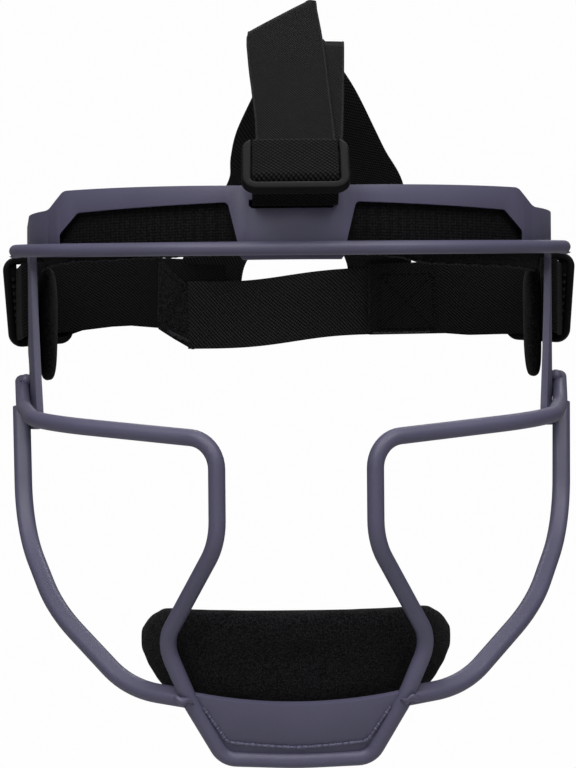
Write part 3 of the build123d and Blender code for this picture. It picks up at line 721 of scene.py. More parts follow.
def softened(node, edge):
    """A copy of a steel node with its doubles merged, its flat faces joined and its sharp edges
    rounded by two narrow facets."""
    bm = bmesh.new()
    bm.from_mesh(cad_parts[node].data)
    bmesh.ops.remove_doubles(bm, verts=bm.verts, dist=2e-6)
    bmesh.ops.dissolve_limit(bm, angle_limit=math.radians(0.4), verts=bm.verts, edges=bm.edges)
    if edge:
        steep = math.radians(38)
        sharp = [e for e in bm.edges if len(e.link_faces) == 2 and e.calc_face_angle(0) > steep]
        how = {"segments": 2, "profile": 0.5, "affect": "EDGES", "clamp_overlap": True}
        bmesh.ops.bevel(bm, geom=sharp, offset=edge, **how)
    bmesh.ops.recalc_face_normals(bm, faces=bm.faces)
    mesh = bpy.data.meshes.new(node + "_coated")
    bm.to_mesh(mesh)
    bm.free()
    mesh.shade_smooth()
    mesh.set_sharp_from_angle(angle=math.radians(32))
    return linked(node + "_coated", mesh)


class GUARD_OT_steel_frame(bpy.types.Operator):
    """The plate, wires, bars and chin plate, powder coated with soft edges"""

    bl_idname = "guard.steel_frame"
    bl_label = "Steel frame"

    def execute(self, context):
        sizes = context.scene.guard_sizes
        for node in (
            "forehead_plate",
            "brow_wire",
            "face_wire",
            "jaw_bar_left",
            "jaw_bar_right",
            "chin_plate",
        ):
            edge = sizes.plate_edge if node.endswith("plate") else sizes.wire_edge
            dress(softened(node, edge), context, "steel", "frame", [node])
        return {"FINISHED"}


def flattened_beads(points):
    """The brow's round beads drawn out along the wire. They are told apart by their turn round the
    plate, and each point moves away from its bead's middle sideways and towards it in height."""
    behind = 100.0
    turn = np.degrees(np.arctan2(points[:, 0], behind - points[:, 1]))
    group = np.digitize(turn, [-64, -45, 0, 45, 64])
    count = np.bincount(group, minlength=6)[:, None]
    middle = np.stack([np.bincount(group, points[:, k], 6) for k in range(3)], axis=1)
    middle = (middle / np.maximum(count, 1))[group]
    points[:, 2] = middle[:, 2] + 0.62 * (points[:, 2] - middle[:, 2]) + 0.5
    along = unit(xyz(behind - middle[:, 1], middle[:, 0], 0))
    return points + 0.8 * np.sum((points - middle) * along, axis=1, keepdims=True) * along


def shifted_beads(points):
    """The beads at the jaw bars' feet spread about their middles and moved a little inward, ahead
    and up. The beads at the lobes stay."""
    for side in (1, -1):
        low = (points[:, 2] < -100) & (points[:, 0] * side > 0)
        middle = points[low].mean(axis=0)
        spread = (points[low] - middle) * [1.5, 1.15, 0.75]
        spread[:, 2] += 0.5 * np.sin(spread[:, 0] * 1.5)
        points[low] = middle + spread + [-1.6 * side, -2.4, 2.6]
    return points


class GUARD_OT_weld_beads(bpy.types.Operator):
    """The weld beads that join the wires, bars and plates"""

    bl_idname = "guard.weld_beads"
    bl_label = "Weld beads"

    def execute(self, context):
        moves = {"brow_welds": flattened_beads, "temple_welds": None, "jaw_welds": shifted_beads}
        for node, move in moves.items():
            obj = softened(node, 0.0)
            if move:
                move_points(obj, move(points_of(obj)))
            dress(obj, context, "steel", "frame", [node])
        # a fine uneven bead runs round the chin plate where it meets the wire: its radius is a sum
        # of sines of unlike wavelengths
        corners = [(-27.6, 16.6), (-20.6, 5.6), (0, 4.5), (20.6, 5.6), (27.6, 16.6)]
        flat = bent(corners, [3.0, 60.0, 3.0], 0.25)
        back = -3.9 * (1 - (flat[:, 0] / 31.9) ** 2) - 0.1
        path = chin_point(flat[:, 0], back, flat[:, 1])
        reach = lengths_along(path)
        wave = np.sin(reach * 4.1) * 0.16 + np.sin(reach * 7.3 + 1) * 0.2 + np.sin(reach * 1.3) * 0.14
        radius = 0.5 * (1 + wave)
        rings = carried(scaled(circle(1.0, 12), radius, radius), path, (0, 1, 0))
        dress(skin("chin_weld_bead", rings), context, "steel", "frame", ["chin_weld"])
        return {"FINISHED"}


# Pads and their hook tape

HOOK_THICKNESS = 1.44
TAPE_HEIGHT = 16.9
PAD_HEIGHT = 22.6
# how far the pad's run goes past the temples' bends
TEMPLE_RUN = 4.0
TEMPLE_MIDDLE = 17.5
# (along the lobe, up) from the lobe's bend
TEMPLE_PAD_CORNERS = [(0.9, -15.0), (4.9, -8.8), (33.6, -8.8), (33.6, -49.6), (1.4, -49.6)]
TEMPLE_PAD_RADII = [3.0, 2.6, 7.0, 8.0, 8.0]
# (across, up), the right half from its top
CHIN_PAD_SIDE = [(46.4, -115.9), (46.6, -131.5), (40.3, -142.0), (30.5, -150.3)]
CHIN_PAD_RADII = [9.5, 11.0, 20.0, 5.0]
CHIN_PAD_BOW = 85.0


def temple_rings(side, depth, thickness, height, width):
    """Rings of a rounded patch inside a lobe, from its top to its foot. The patch's width at each
    height is the half circle's at its corners, and its face is flat."""
    corner = 7.0
    z = np.linspace(-1, 1, 60) * height / 2
    over = np.clip(np.abs(z) - (height / 2 - corner), 0, corner)
    half = width / 2 - corner + np.sqrt(np.clip(corner**2 - over**2, 0.02, None))
    middle = temple(TEMPLE_MIDDLE, depth)
    path = xyz(middle[0], middle[1], z - 31.8)
    sections = scaled(flat_section(2.0, thickness, 36, 0.3), half, 1.0)
    return flipped(carried(sections, path, np.append(ALONG_LOBE, 0.0)), side)


class GUARD_OT_hook_tape(bpy.types.Operator):
    """Hook strips behind the forehead pad, temple pads and chin pad"""

    bl_idname = "guard.hook_tape"
    bl_label = "Hook tape"

    def execute(self, context):
        line = plan_line(2.75, TEMPLE_RUN, 0.8)
        free = np.argmax(line[:, 0] > 13.6) / (len(line) - 1)
        line = plan_line(2.02 + HOOK_THICKNESS / 2, TEMPLE_RUN, 0.8)
        line = line[int(free * (len(line) - 1)) :]
        section = flat_section(TAPE_HEIGHT, HOOK_THICKNESS, 32, 0.3)
        brow = carried(section, xyz(line[:, 0], line[:, 1], 0), (0, 0, 1))
        # the tape's ends are cut down behind the plate's steps
        share = np.interp(brow[..., 0], [64.0, 73.0], [1.0, 0.66])
        brow[..., 2] = (brow[..., 2] + TAPE_HEIGHT / 2) * share - TAPE_HEIGHT / 2
        for side, name in SIDES:
            obj = skin("brow_hook_tape_" + name, flipped(brow, side))
            dress(obj, context, "hooks", "frame", ["forehead_hook_strip_" + name])
            obj = skin("temple_hook_tape_" + name, temple_rings(side, 2.62, 1.14, 35.2, 29.8))
            dress(obj, context, "hooks", "frame", ["temple_hook_patch_" + name])
        x = np.linspace(-1, 1, 48) * 19.9
        bow = 145.0
        path = chin_point(x, -0.95 + bow - np.sqrt(bow**2 - x**2), 10.5)
        up = chin_point(0, 0, 1) - chin_point(0, 0, 0)
        rings = carried(flat_section(11.8, HOOK_THICKNESS, 32, 0.3), path, up)
        dress(skin("chin_hook_tape", rings), context, "hooks", "frame", ["chin_hook_patch"])
        return {"FINISHED"}


def rim_line(cover, line, sign):
    """The line laid on the top or foot of a cover: at each place it takes the height of the highest
    or lowest point close by, smoothed over thirteen places, with a ripple."""
    rim = cover[sign * cover[:, 2] > 5.0]
    close = (np.abs(rim[None, :, :2] - line[:, None]) < 1.3).all(axis=2)
    line, close = line[close.any(axis=1)], close[close.any(axis=1)]
    height = sign * np.where(close, sign * rim[None, :, 2], 0.0).max(axis=1)
    height = np.convolve(np.pad(height, 6, mode="edge"), np.full(13, 1 / 13), mode="valid")
    reach = lengths_along(line)
    ripple = 0.16 * np.sin(reach * 0.9) + 0.12 * np.sin(reach * 2.3)
    return np.column_stack([line, height + ripple - 0.15 * sign])


class GUARD_OT_forehead_pad(bpy.types.Operator):
    """The long crowned pad round the inside of the brow"""

    bl_idname = "guard.forehead_pad"
    bl_label = "Forehead pad"

    def execute(self, context):
        line = plan_line(3.8 + 4.0, TEMPLE_RUN, 1.0)
        # the right half hangs lower, and both ends are cut down behind the plate's steps
        end_cut = 7.0 * np.clip((np.abs(line[:, 0]) - 66.0) / 9.0, 0, 1)
        droop = -2.6 * np.clip((line[:, 0] - 26) / 18, 0, 1)
        path = np.column_stack([line, droop - end_cut / 2])
        rings = pad_rings(path, (0, 0, 1), PAD_HEIGHT - end_cut, 7.8, 1.6, 0.4)
        obj = skin("forehead_pad_cover", rings)
        tail = TAIL_BACK + STRAP_THICKNESS / 2 + 0.5

        def room(points):
            """Still where the crown strap lies against it and nearly still in front, on its tape."""
            tight = (np.abs(points[:, 0]) < 15) & (tail - points[:, 1] > -3)
            return np.where(tight, 0.0, np.where(points[:, 1] < line[:, 1].min(), 0.3, 1.0))

        # it is pressed in where the crown strap's tail lies behind it
        pressed = points_of(obj)
        hollow = (np.abs(pressed[:, 0]) < 13.6) & (pressed[:, 2] > 3)
        pressed[hollow, 1] = np.maximum(pressed[hollow, 1], -7.05)
        move_points(obj, pressed)
        puffed(obj, context.scene.guard_sizes, room)
        dress(obj, context, "pad", "forehead_cushion", ["forehead_pad"])
        # the cover's cut edge is overlocked along its foot and its top, where the foam ends
        cover = points_of(obj)
        foot = plan_line(5.6, 2.5, 0.5)
        top = plan_line(5.0, 2.5, 0.5)
        top = top[top[:, 0] > 15.5]
        for name, edge, sign, side in (
            ("foot", foot, -1, 1),
            ("top", top, 1, 1),
            ("left", top, 1, -1),
        ):
            cord = carried(circle(0.42), rim_line(cover, edge, sign), (0, 0, 1))
            obj = skin("forehead_pad_edging_" + name, flipped(cord, side))
            dress(obj, context, "edging", "forehead_cushion")
        return {"FINISHED"}


class GUARD_OT_temple_pads(bpy.types.Operator):
    """A rounded foam pad inside each lobe"""

    bl_idname = "guard.temple_pads"
    bl_label = "Temple pads"

    def execute(self, context):
        back = temple(TEMPLE_MIDDLE, 4.6)

        def place(run, up, depth):
            """Point on the lobe's inside, the pad's middle 6.4 mm in from its face."""
            plan = temple(run[..., None], 6.4 - depth[..., None])
            return np.concatenate([plan, up[..., None]], axis=-1)

        def room(points):
            """Nearly still at the back, against the lobe's tape, and free at its inner face."""
            lean = (points[:, 1] - back[1]) * math.tan(FLARE)
            return np.where(np.abs(points[:, 0]) - lean > back[0], 0.1, 1.0)

        rings = pillow(rounded(TEMPLE_PAD_CORNERS, TEMPLE_PAD_RADII), 5.8, 0.42, place)
        for side, name in SIDES:
            obj = skin("temple_pad_cover_" + name, flipped(rings, side))
            puffed(obj, context.scene.guard_sizes, room)
            dress(obj, context, "pad", "temple_cushion_" + name, ["temple_pad_" + name])
        return {"FINISHED"}


class GUARD_OT_chin_pad(bpy.types.Operator):
    """The curved chin cup, round in the front view and rolled over at its rim"""

    bl_idname = "guard.chin_pad"
    bl_label = "Chin pad"

    def execute(self, context):
        left = [(-x, z) for x, z in CHIN_PAD_SIDE]
        corners = left[:1] + CHIN_PAD_SIDE + left[:0:-1]
        outline = rounded(corners, CHIN_PAD_RADII[:1] + CHIN_PAD_RADII + CHIN_PAD_RADII[:0:-1])
        # the top edge dips in the middle
        dip = 0.5 * np.cos(np.clip(outline[:, 0] / 46.0, -1, 1) * math.pi / 2)
        outline[:, 1] -= dip * (outline[:, 1] > -130)

        def place(x, z, depth):
            """Point of the pad, whose front face is bowed in plan."""
            back = 0.35 + CHIN_PAD_BOW - np.sqrt(CHIN_PAD_BOW**2 - x**2) + 5.6 + depth
            up = (z + CHIN_DROP - back * math.sin(CHIN_LEAN)) / math.cos(CHIN_LEAN)
            return chin_point(x, back, up)

        def room(points):
            """Held back in front, and free at the face that meets the chin."""
            return np.where(points[:, 1] < -36, 0.3, 1.0)

        obj = skin("chin_pad_cover", pillow(outline, 11.0, 0.45, place))
        puffed(obj, context.scene.guard_sizes, room)
        dress(obj, context, "pad", "chin_cushion", ["chin_pad"])
        return {"FINISHED"}


# Straps

# (distance from the crown adjuster's top, place across) along the run over the ridge
RUN_PLACES = [-20, 0, 17, 45, 60, 72, 90]
RUN_MIDDLES = [1.3, 1.55, 1.1, -0.3, -1.3, -2.1, -2.3]
RUN_WIDTHS = ([-20, 0, 60, 90], [25.2, 24.9, 24.1, 23.3])
# per side: width, end past the joint, rise along the run and drop along the loop
SIDE_RUNS = {
    "right": (26.8, 7.0, [-0.2, -0.2, -0.2, -0.3, 0.5, 0.5, 0.5], [0.0, 1.2, 1.3, 0.6, 0.2]),
    "left": (26.2, 14.0, [0.4, 1.2, 1.9, 3.5, 4.0, 3.2, 2.6], [0.0, 1.4, 1.9, 0.0, -3.4]),
}
RISE_PLACES = [-6, 6, 13, 26, 35, 46, 72]
DROP_PLACES = [4, 22, 37, 46, 56]
# both edges of the rear strap's turned-in end, as (height, distance along the side strap)
PATCH_START = ([-37.4, -33.5, -29.9, -28.6, -20, -4.6], [58.4, 51.2, 45.2, 44.5, 44.9, 45.3])
PATCH_END = ([-37.4, -32.3, -20.4, -12.9, -4.6], [59.2, 58.4, 57.6, 56.2, 47.0])
# its stitching's corners and, with a side and a radius, the hems, as (distance along, height)
PATCH_STITCHES = [(46.6, -7.4), (55.4, -14.0), (47.4, -27.6), (56.0, -31.0)]
UPRIGHT_HEMS = (
    (1, [(64.9, -31.6), (64.9, -6.2)], 0.4),
    (-1, [(45.4, -27.6), (45.6, -6.4)], 0.5),
)
FOOT_HEMS = (
    (1, [(63.3, -31.9), (41.0, -31.9)], 0.45),
    (-1, [(48.4, -30.6), (57.2, -34.7)], 0.7),
)
# outer edge of each leg of the yoke, from the ridge to its sewn foot
YOKE_LEFT = [
    (-10.7, 59.5, 59.2),
    (-10.6, 70.5, 49.1),
    (-13.2, 75, 44.6),
    (-18.7, 84, 35.3),
    (-20.7, 90.5, 28.8),
    (-22.2, 98, 20.4),
    (-33, 112, 4),
    (-40.9, 120.9, -8),
    (-41.1, 121.1, -32),
]
YOKE_RIGHT = [
    (13, 54, 65),
    (19.3, 63, 56.8),
    (25.1, 70.7, 48.9),
    (34.7, 86.7, 32.6),
    (42.1, 98.3, 20.8),
    (43.6, 112, 3),
    (46.4, 120.4, -8),
    (46.2, 120.6, -32),
]


def strap(name, path, across, context, width=STRAP_WIDTH, weave=1, kind="webbing"):
    """A strap of one thickness along a path, in woven elastic whose twill leans either way."""
    rings = carried(flat_section(width, STRAP_THICKNESS), path, across)
    along = weave * np.broadcast_to(lengths_along(path)[:, None], rings.shape[:2])
    return dress(skin(name, rings, along), context, kind)


def selvedges(name, rings):
    """The tightly bound edges of a strap: a fine cord along each side of its skin."""
    radius = STRAP_THICKNESS / 2 + 0.04
    half = rings.shape[1] // 2
    sides = ((rings[:, 0] + rings[:, -1]) / 2, (rings[:, half] + rings[:, half - 1]) / 2)
    inward = unit(sides[1] - sides[0]) * (0.6 * radius - 0.05)
    cords = []
    for line, shift in zip(sides, (inward, -inward)):
        out = np.cross(shift, np.gradient(line, axis=0))
        cords.append(skin(name, carried(circle(radius, 8, 0.6), line + shift, out)))
    return joined(name, cords)


def box_cross(name, centre, along, up, normal, width, height, context):
    """The sewn box with a cross that joins two layers of webbing."""
    along, up = np.asarray(along) * width / 2, np.asarray(up) * height / 2
    corner = [centre + along * a + up * b for a, b in ((-1, -1), (1, -1), (1, 1), (-1, 1))]
    lines = [(corner[k], corner[(k + 1) % 4]) for k in range(4)]
    lines += [(corner[0], corner[2]), (corner[1], corner[3])]
    dress(stitch_lines(name, lines, normal), context, "thread", "harness")


def shifted(path, marks):
    """The path moved sideways: the shift at each distance along it runs smoothly between marks of
    (distance, shift)."""
    reach = lengths_along(path)
    fine = np.linspace(reach[0], reach[-1], 400)
    shift = np.interp(fine, *np.transpose(np.asarray(marks, float)))
    shift = np.convolve(np.pad(shift, 20, mode="edge"), np.ones(41) / 41, mode="valid")
    path[:, 0] += np.interp(reach, fine, shift)
    return path


class GUARD_OT_crown_strap(bpy.types.Operator):
    """The run over the ridge, the layer through the slot and adjuster, and the tail behind"""

    bl_idname = "guard.crown_strap"
    bl_label = "Crown strap"

    def execute(self, context):
        self.run(context)
        points = [(0, PLATE_FRONT + 1.2, SLOT_HEIGHT), (0, PLATE_FRONT - 2.6, SLOT_HEIGHT)]
        marks = ((-6.8, 0.2), (0.0, 0.25), (12.2, 0.65), (12.2, -2.35), (3.2, -2.35))
        points += [by_adjuster(up, out) for up, out in marks]
        path = shifted(bent(points, [1.5, 1.8, 6.0, 1.35, 1.35], 0.5), [(0, 1.0), (60, 1.1)])
        obj = strap("crown_strap_loop", path, (1, 0, 0), context, 26.3, kind="stretched")
        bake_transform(obj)
        behind = by_adjuster(12.0, -4.1)
        slope = unit(RIDGE - behind)
        back = np.array([0.0, slope[2], -slope[1]])
        corner = behind + 1.85 * back
        corner = corner + slope * (TAIL_BACK - corner[1]) / slope[1]
        points = [
            (0, PLATE_FRONT + 1.5, SLOT_HEIGHT),
            (0, TAIL_BACK, SLOT_HEIGHT),
            corner,
            corner + 63.5 * slope,
            corner + 67.5 * slope + 0.8 * back,
        ]
        marks = [(0, 0.4), (14, 1.2), (26, 3.6), (52, 4.8), (86, 6.0)]
        path = shifted(bent(points, [1.35, 2.4, 12.0], 0.6), marks)
        rings = carried(flat_section(STRAP_WIDTH, STRAP_THICKNESS), path, (1, 0, 0))
        dress(skin("crown_strap_tail", rings), context, "webbing", "frame")
        dress(selvedges("crown_strap_tail_selvedge", rings), context, "selvedge", "frame")
        return {"FINISHED"}

    def run(self, context):
        """The layer from the adjuster's back up to the ridge, where it folds over on a slant.

        Each row is square to the strap low down and turns parallel to the fold on the way up. Beyond
        the fold's start, the distance square to the fold wraps round a small cylinder."""
        low, high = by_adjuster(-5.0, -4.35), by_adjuster(12.0, -4.1)
        up, sideways = unit(RIDGE - high), np.array([1.0, 0, 0])
        back = np.array([0.0, up[2], -up[1]])
        slant, radius, turn, flap, begin = math.radians(44.0), 4.4, math.radians(88.0), 16.0, 76.8
        wrapped = radius * turn
        level = math.cos(slant) * sideways + math.sin(slant) * up
        square = math.cos(slant) * up - math.sin(slant) * sideways
        beyond = (wrapped + flap) / math.cos(slant)
        path = bent([low, high, high + up * (begin + beyond)], [7.0], 0.6)
        place = (path - high) @ up
        centre = np.interp(place, RUN_PLACES, RUN_MIDDLES)
        width = np.interp(place, *RUN_WIDTHS)
        lean = (eased(np.clip((place - 8) / 52, 0, 1)) * math.tan(slant))[:, None]
        section = flat_section(1.0, STRAP_THICKNESS)
        across, out = section[:, 0] * width[:, None], section[:, 1][None, :]
        ahead = np.minimum(place, begin)[:, None] + lean * across
        tangent = unit(np.gradient(path, axis=0))
        normal = xyz(0, -tangent[:, 2], tangent[:, 1])
        straight = (
            path[:, None, :]
            + (ahead - place[:, None])[..., None] * up
            + (centre[:, None] + across)[..., None] * sideways
            + out[..., None] * normal[:, None, :]
        )
        gone = (np.clip(place - begin, 0, None) * math.cos(slant))[:, None]
        angle = np.minimum(gone / radius, turn)
        more = np.clip(gone - wrapped, 0, None)
        drift = 0.45 * np.minimum(gone, wrapped) * math.tan(slant)
        narrow = 1 - 0.5 * (gone / (wrapped + flap)) ** 0.7
        rise = (radius + out) * np.sin(angle) + more * math.cos(turn)
        sink = radius - (radius + out) * np.cos(angle) + more * math.sin(turn)
        folded = (
            high
            + begin * up
            + np.interp(begin, place, centre) * sideways
            + (across / math.cos(slant) * narrow + drift)[..., None] * level
            + rise[..., None] * square
            + sink[..., None] * back
        )
        rings = np.where((place < begin)[:, None, None], straight, folded)
        obj = skin("crown_strap_run", rings, -(place[:, None] + lean * across))
        dress(obj, context, "webbing", None, ["crown_strap"])
        edges = dress(selvedges("crown_strap_selvedge", rings), context, "selvedge")
        for piece in (obj, edges):
            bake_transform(piece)


class GUARD_OT_side_straps(bpy.types.Operator):
    """Each side strap: its run to the rear joint, and its loop through slot and adjuster"""

    bl_idname = "guard.side_straps"
    bl_label = "Side straps"

    def execute(self, context):
        inside = 2.0 + 0.3 + STRAP_THICKNESS / 2
        # where the run crosses the line of the webbing inside the lobe, as a distance along it
        gap = SIDE_START[:2] - temple(0, inside)
        cross = SIDE_RUN[0] * ALONG_LOBE[1] - SIDE_RUN[1] * ALONG_LOBE[0]
        meet = side_place((gap[1] * ALONG_LOBE[0] - gap[0] * ALONG_LOBE[1]) / cross, 0)
        slot_run = 46.3 - 8.0 - 2.7 / 2
        slot_in = np.append(temple(slot_run, inside), -STRAP_DROP)
        slot_out = np.append(temple(slot_run, -(0.3 + 0.7 + 0.55)), -STRAP_DROP)
        split = slot_in + 0.45 * (meet - slot_in)
        window = [side_place(-7.3, 5.0), side_place(26.7, 5.0)]
        for side, name in SIDES:
            width, past, rise, drop = SIDE_RUNS[name]
            run = bent([split, meet, side_place(SIDE_REACH + past, 0)], [2.4])
            run[:, 2] += np.interp((run - SIDE_START) @ SIDE_RUN, RISE_PLACES, rise)
            run = flipped(run, side)
            obj = strap("side_strap_run_" + name, run, (0, 0, 1), context, width, -1)
            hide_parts("side_strap_" + name)
            tuple(flipped(side_place(13.0, 0), side) * MM)
            tuple(flipped(side_place(SIDE_REACH - 15, 0), side) * MM)
            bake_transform(obj)
            loop = bent([split, slot_in, slot_out, *window], [1.35, 1.35, 2.4])
            loop[:, 2] -= np.interp(lengths_along(loop), DROP_PLACES, drop)
            obj = strap("side_strap_loop_" + name, flipped(loop, side), (0, 0, 1), context, 26.2)
            tuple(flipped((94.5, 91.5, -STRAP_DROP), side) * MM)
            tuple(flipped((96.5, 97.0, -STRAP_DROP), side) * MM)
            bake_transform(obj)
        self.ends(context, -STRAP_THICKNESS / 2)
        return {"FINISHED"}

    def ends(self, context, front):
        """The turned ends at both rear joints with their stitching and hems, on the layer whose
        face is `front` of the side straps' middle."""
        # the right end is turned back over itself and sewn down, so its twill leans the other way
        ends = [side_place(along, front - 0.45) for along in (40.0, SIDE_REACH + 7.0)]
        layer = evenly(np.array(ends), 0.8) + [0, 0, 0.5]
        rings = carried(flat_section(26.7, 0.9), layer, (0, 0, 1))
        dress(skin("side_strap_turned_end", rings), context, "webbing", "harness")
        box_cross(
            "side_strap_stitching_right",
            side_place(SIDE_REACH - 8.4, front - 1.0, -19.8),
            SIDE_RUN,
            (0, 0, 1),
            -SIDE_BACK,
            21.5,
            20.3,
            context,
        )
        # the left end of the rear strap is turned in: its reverse shows as a narrow patch
        z = np.linspace(PATCH_END[0][0], PATCH_END[0][-1], 90)[:, None]
        first, last = np.interp(z, *PATCH_START), np.interp(z, *PATCH_END)
        section = flat_section(1.0, 0.8, 28)
        share = (first + last) / 2 + section[:, 0] * (last - first)
        rings = SIDE_START + share[..., None] * SIDE_RUN
        rings = rings + (front - 0.5 + section[:, 1:]) * SIDE_BACK
        rings[..., 2] = z
        obj = skin("rear_strap_turned_end", flipped(rings, -1))
        dress(obj, context, "reverse", "harness")
        corner = [flipped(side_place(a, front - 1.0, up), -1) for a, up in PATCH_STITCHES]
        lines = list(zip(corner[:-1], corner[1:]))
        obj = stitch_lines("rear_strap_stitching", lines, flipped(-SIDE_BACK, -1))
        dress(obj, context, "thread", "harness")
        # the hems are real cords, but the foot hems take the light edging colour as a painted highlight
        # along the lower edges, while the upright hems keep the darker reverse colour
        for name, kind, hems in (
            ("side_strap_upright_hems", "reverse", UPRIGHT_HEMS),
            ("side_strap_foot_hems_painted_highlight", "edging", FOOT_HEMS),
        ):
            cords = []
            for side, marks, radius in hems:
                ends = [side_place(a, front - 0.75 - radius / 4, up) for a, up in marks]
                line = evenly(np.array(ends), 0.5)
                line[:, 2] += 0.1 * np.sin(lengths_along(line) * 2.1)
                cords.append(skin("hem", flipped(carried(circle(radius), line, SIDE_BACK), side)))
            dress(joined(name, cords), context, kind, "harness")


class GUARD_OT_rear_strap(bpy.types.Operator):
    """The elastic band behind the head, which hangs a little lower on the left"""

    bl_idname = "guard.rear_strap"
    bl_label = "Rear strap"

    def execute(self, context):
        right = side_place(SIDE_REACH - 13, 1.6)
        left = side_place(SIDE_REACH - 1.5, -STRAP_THICKNESS / 2 - 0.8) * [-1, 1, 1]
        slope = -SIDE_RUN[1] / SIDE_RUN[0]
        x = (right[1] - left[1]) / (2 * slope) + (right[0] + left[0]) / 2
        path = bent([right, (x, right[1] + (right[0] - x) * slope, 0), left], [47.0], 0.9)
        path[:, 2] = -22.0 + 3.1 * np.tanh(path[:, 0] / 26.0) + 0.25 * np.sin(path[:, 0] / 9.0)
        # its webbing is painted lighter than the side straps' to make up for the shade it lies in
        obj = strap("rear_strap_webbing", path, (0, 0, 1), context, weave=-1, kind="coarse")
        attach(obj, "harness")
        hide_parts("rear_strap")
        return {"FINISHED"}


class GUARD_OT_crown_yoke(bpy.types.Operator):
    """The inverted V from the ridge down to the two rear joints"""

    bl_idname = "guard.crown_yoke"
    bl_label = "Crown yoke"

    def execute(self, context):
        lean = math.sin(math.radians(24))
        for name, side, outer, nodes in (
            ("left", -1, YOKE_LEFT, ["crown_yoke"]),
            ("right", 1, YOKE_RIGHT, []),
        ):
            edge = flowing(outer, 1.2)
            reach = lengths_along(edge)
            ease = eased(np.clip(reach / reach[-9], 0, 1))[:, None]
            apex = unit([-side * 0.90, 0.0, -side * lean])
            foot = unit([-side * 0.92, 0.39, 0.0])
            across = unit(apex * (1 - ease) + foot * ease)
            path = edge + across * STRAP_WIDTH / 2
            rings = carried(flat_section(STRAP_WIDTH, STRAP_THICKNESS), path, across)
            # the legs' webbing is painted lighter to make up for the shade on their downward-facing
            # sides
            dress(skin("crown_yoke_leg_" + name, rings), context, "coarse", "harness", nodes)
        return {"FINISHED"}


# Adjusters

MOULDING = 3.0
RIM_WIDTH, RIM_HEIGHT, RIM_CORNER = 32.7, 24.0, 5.0
# how wide each side adjuster's flange is, and how far its middle stands from the bar
FLANGES = {"right": (4.4, 8.1), "left": (3.3, 8.55)}


def rounded_loop(width, height, corner, count=96):
    """Points round a rounded rectangle, matched by the turn about its corners' centres, so that two
    such loops pair up point by point."""
    turn = np.arange(count) * TAU / count
    quarter = np.floor(turn / (TAU / 4)).astype(int)
    sx = np.array([1, -1, -1, 1])[quarter]
    sy = np.array([1, 1, -1, -1])[quarter]
    # the straight sides are spread between the corners by easing the turn within each quarter
    local = (turn - quarter * TAU / 4) / (TAU / 4)
    arc = np.clip((local - 0.25) / 0.5, 0, 1) * TAU / 4 + quarter * TAU / 4
    x = sx * (width / 2 - corner) + corner * np.cos(arc)
    y = sy * (height / 2 - corner) + corner * np.sin(arc)
    start, end = np.minimum(local / 0.25, 1.0), np.minimum((1 - local) / 0.25, 1.0)
    even = quarter % 2 == 0
    return np.stack([x * np.where(even, end, start), y * np.where(even, start, end)], axis=1)


def glide_frame(window):
    """The adjuster's outer frame as rings round a rounded section, from the window's wall out to
    the rim and back, in its own millimetres."""
    outer = rounded_loop(RIM_WIDTH, RIM_HEIGHT, RIM_CORNER)[:, None, :]
    inner = rounded_loop(*window, 1.6)[:, None, :]
    section = block_section(2.0, MOULDING, 0.42, 28)
    share = (section[None, :, :1] + 1) / 2
    flat = inner * (1 - share) + outer * share
    return np.concatenate([flat, np.broadcast_to(section[:, 1:], flat.shape[:2] + (1,))], axis=2)


def glide_bar(z, thickness, ribs):
    """A bar across the adjuster, with a row of grip ribs as a wave along it."""
    x = np.linspace(-14.9, 14.9, 180)
    wave = 1 + ribs * 0.5 * (1 + np.cos(x / 2.1 * TAU)) * (np.abs(x) < 12.5)
    sections = scaled(block_section(1.0, 1.0, 0.45, 28), 4.0, thickness * wave)
    return carried(sections, xyz(x, 0, z), (0, 1, 0))


def grip_teeth(y):
    """A row of grip teeth as rings, each tooth a raised cosine."""
    x = np.linspace(-9.6, 9.6, 200)
    tooth = 0.5 + 0.5 * np.cos(x / 2.6 * TAU)
    sections = scaled(block_section(1.0, 1.0, 0.6, 20), 1.9, 0.9 + 1.3 * tooth**2)
    return carried(sections, xyz(x, y, 0.1), (0, 1, 0))


def placed(rings, origin, right, front):
    """Rings from an adjuster's own frame into place: its x along `right` and its z along `front`."""
    right, front = unit(right), unit(front)
    return origin + rings @ np.stack([right, np.cross(front, right), front])


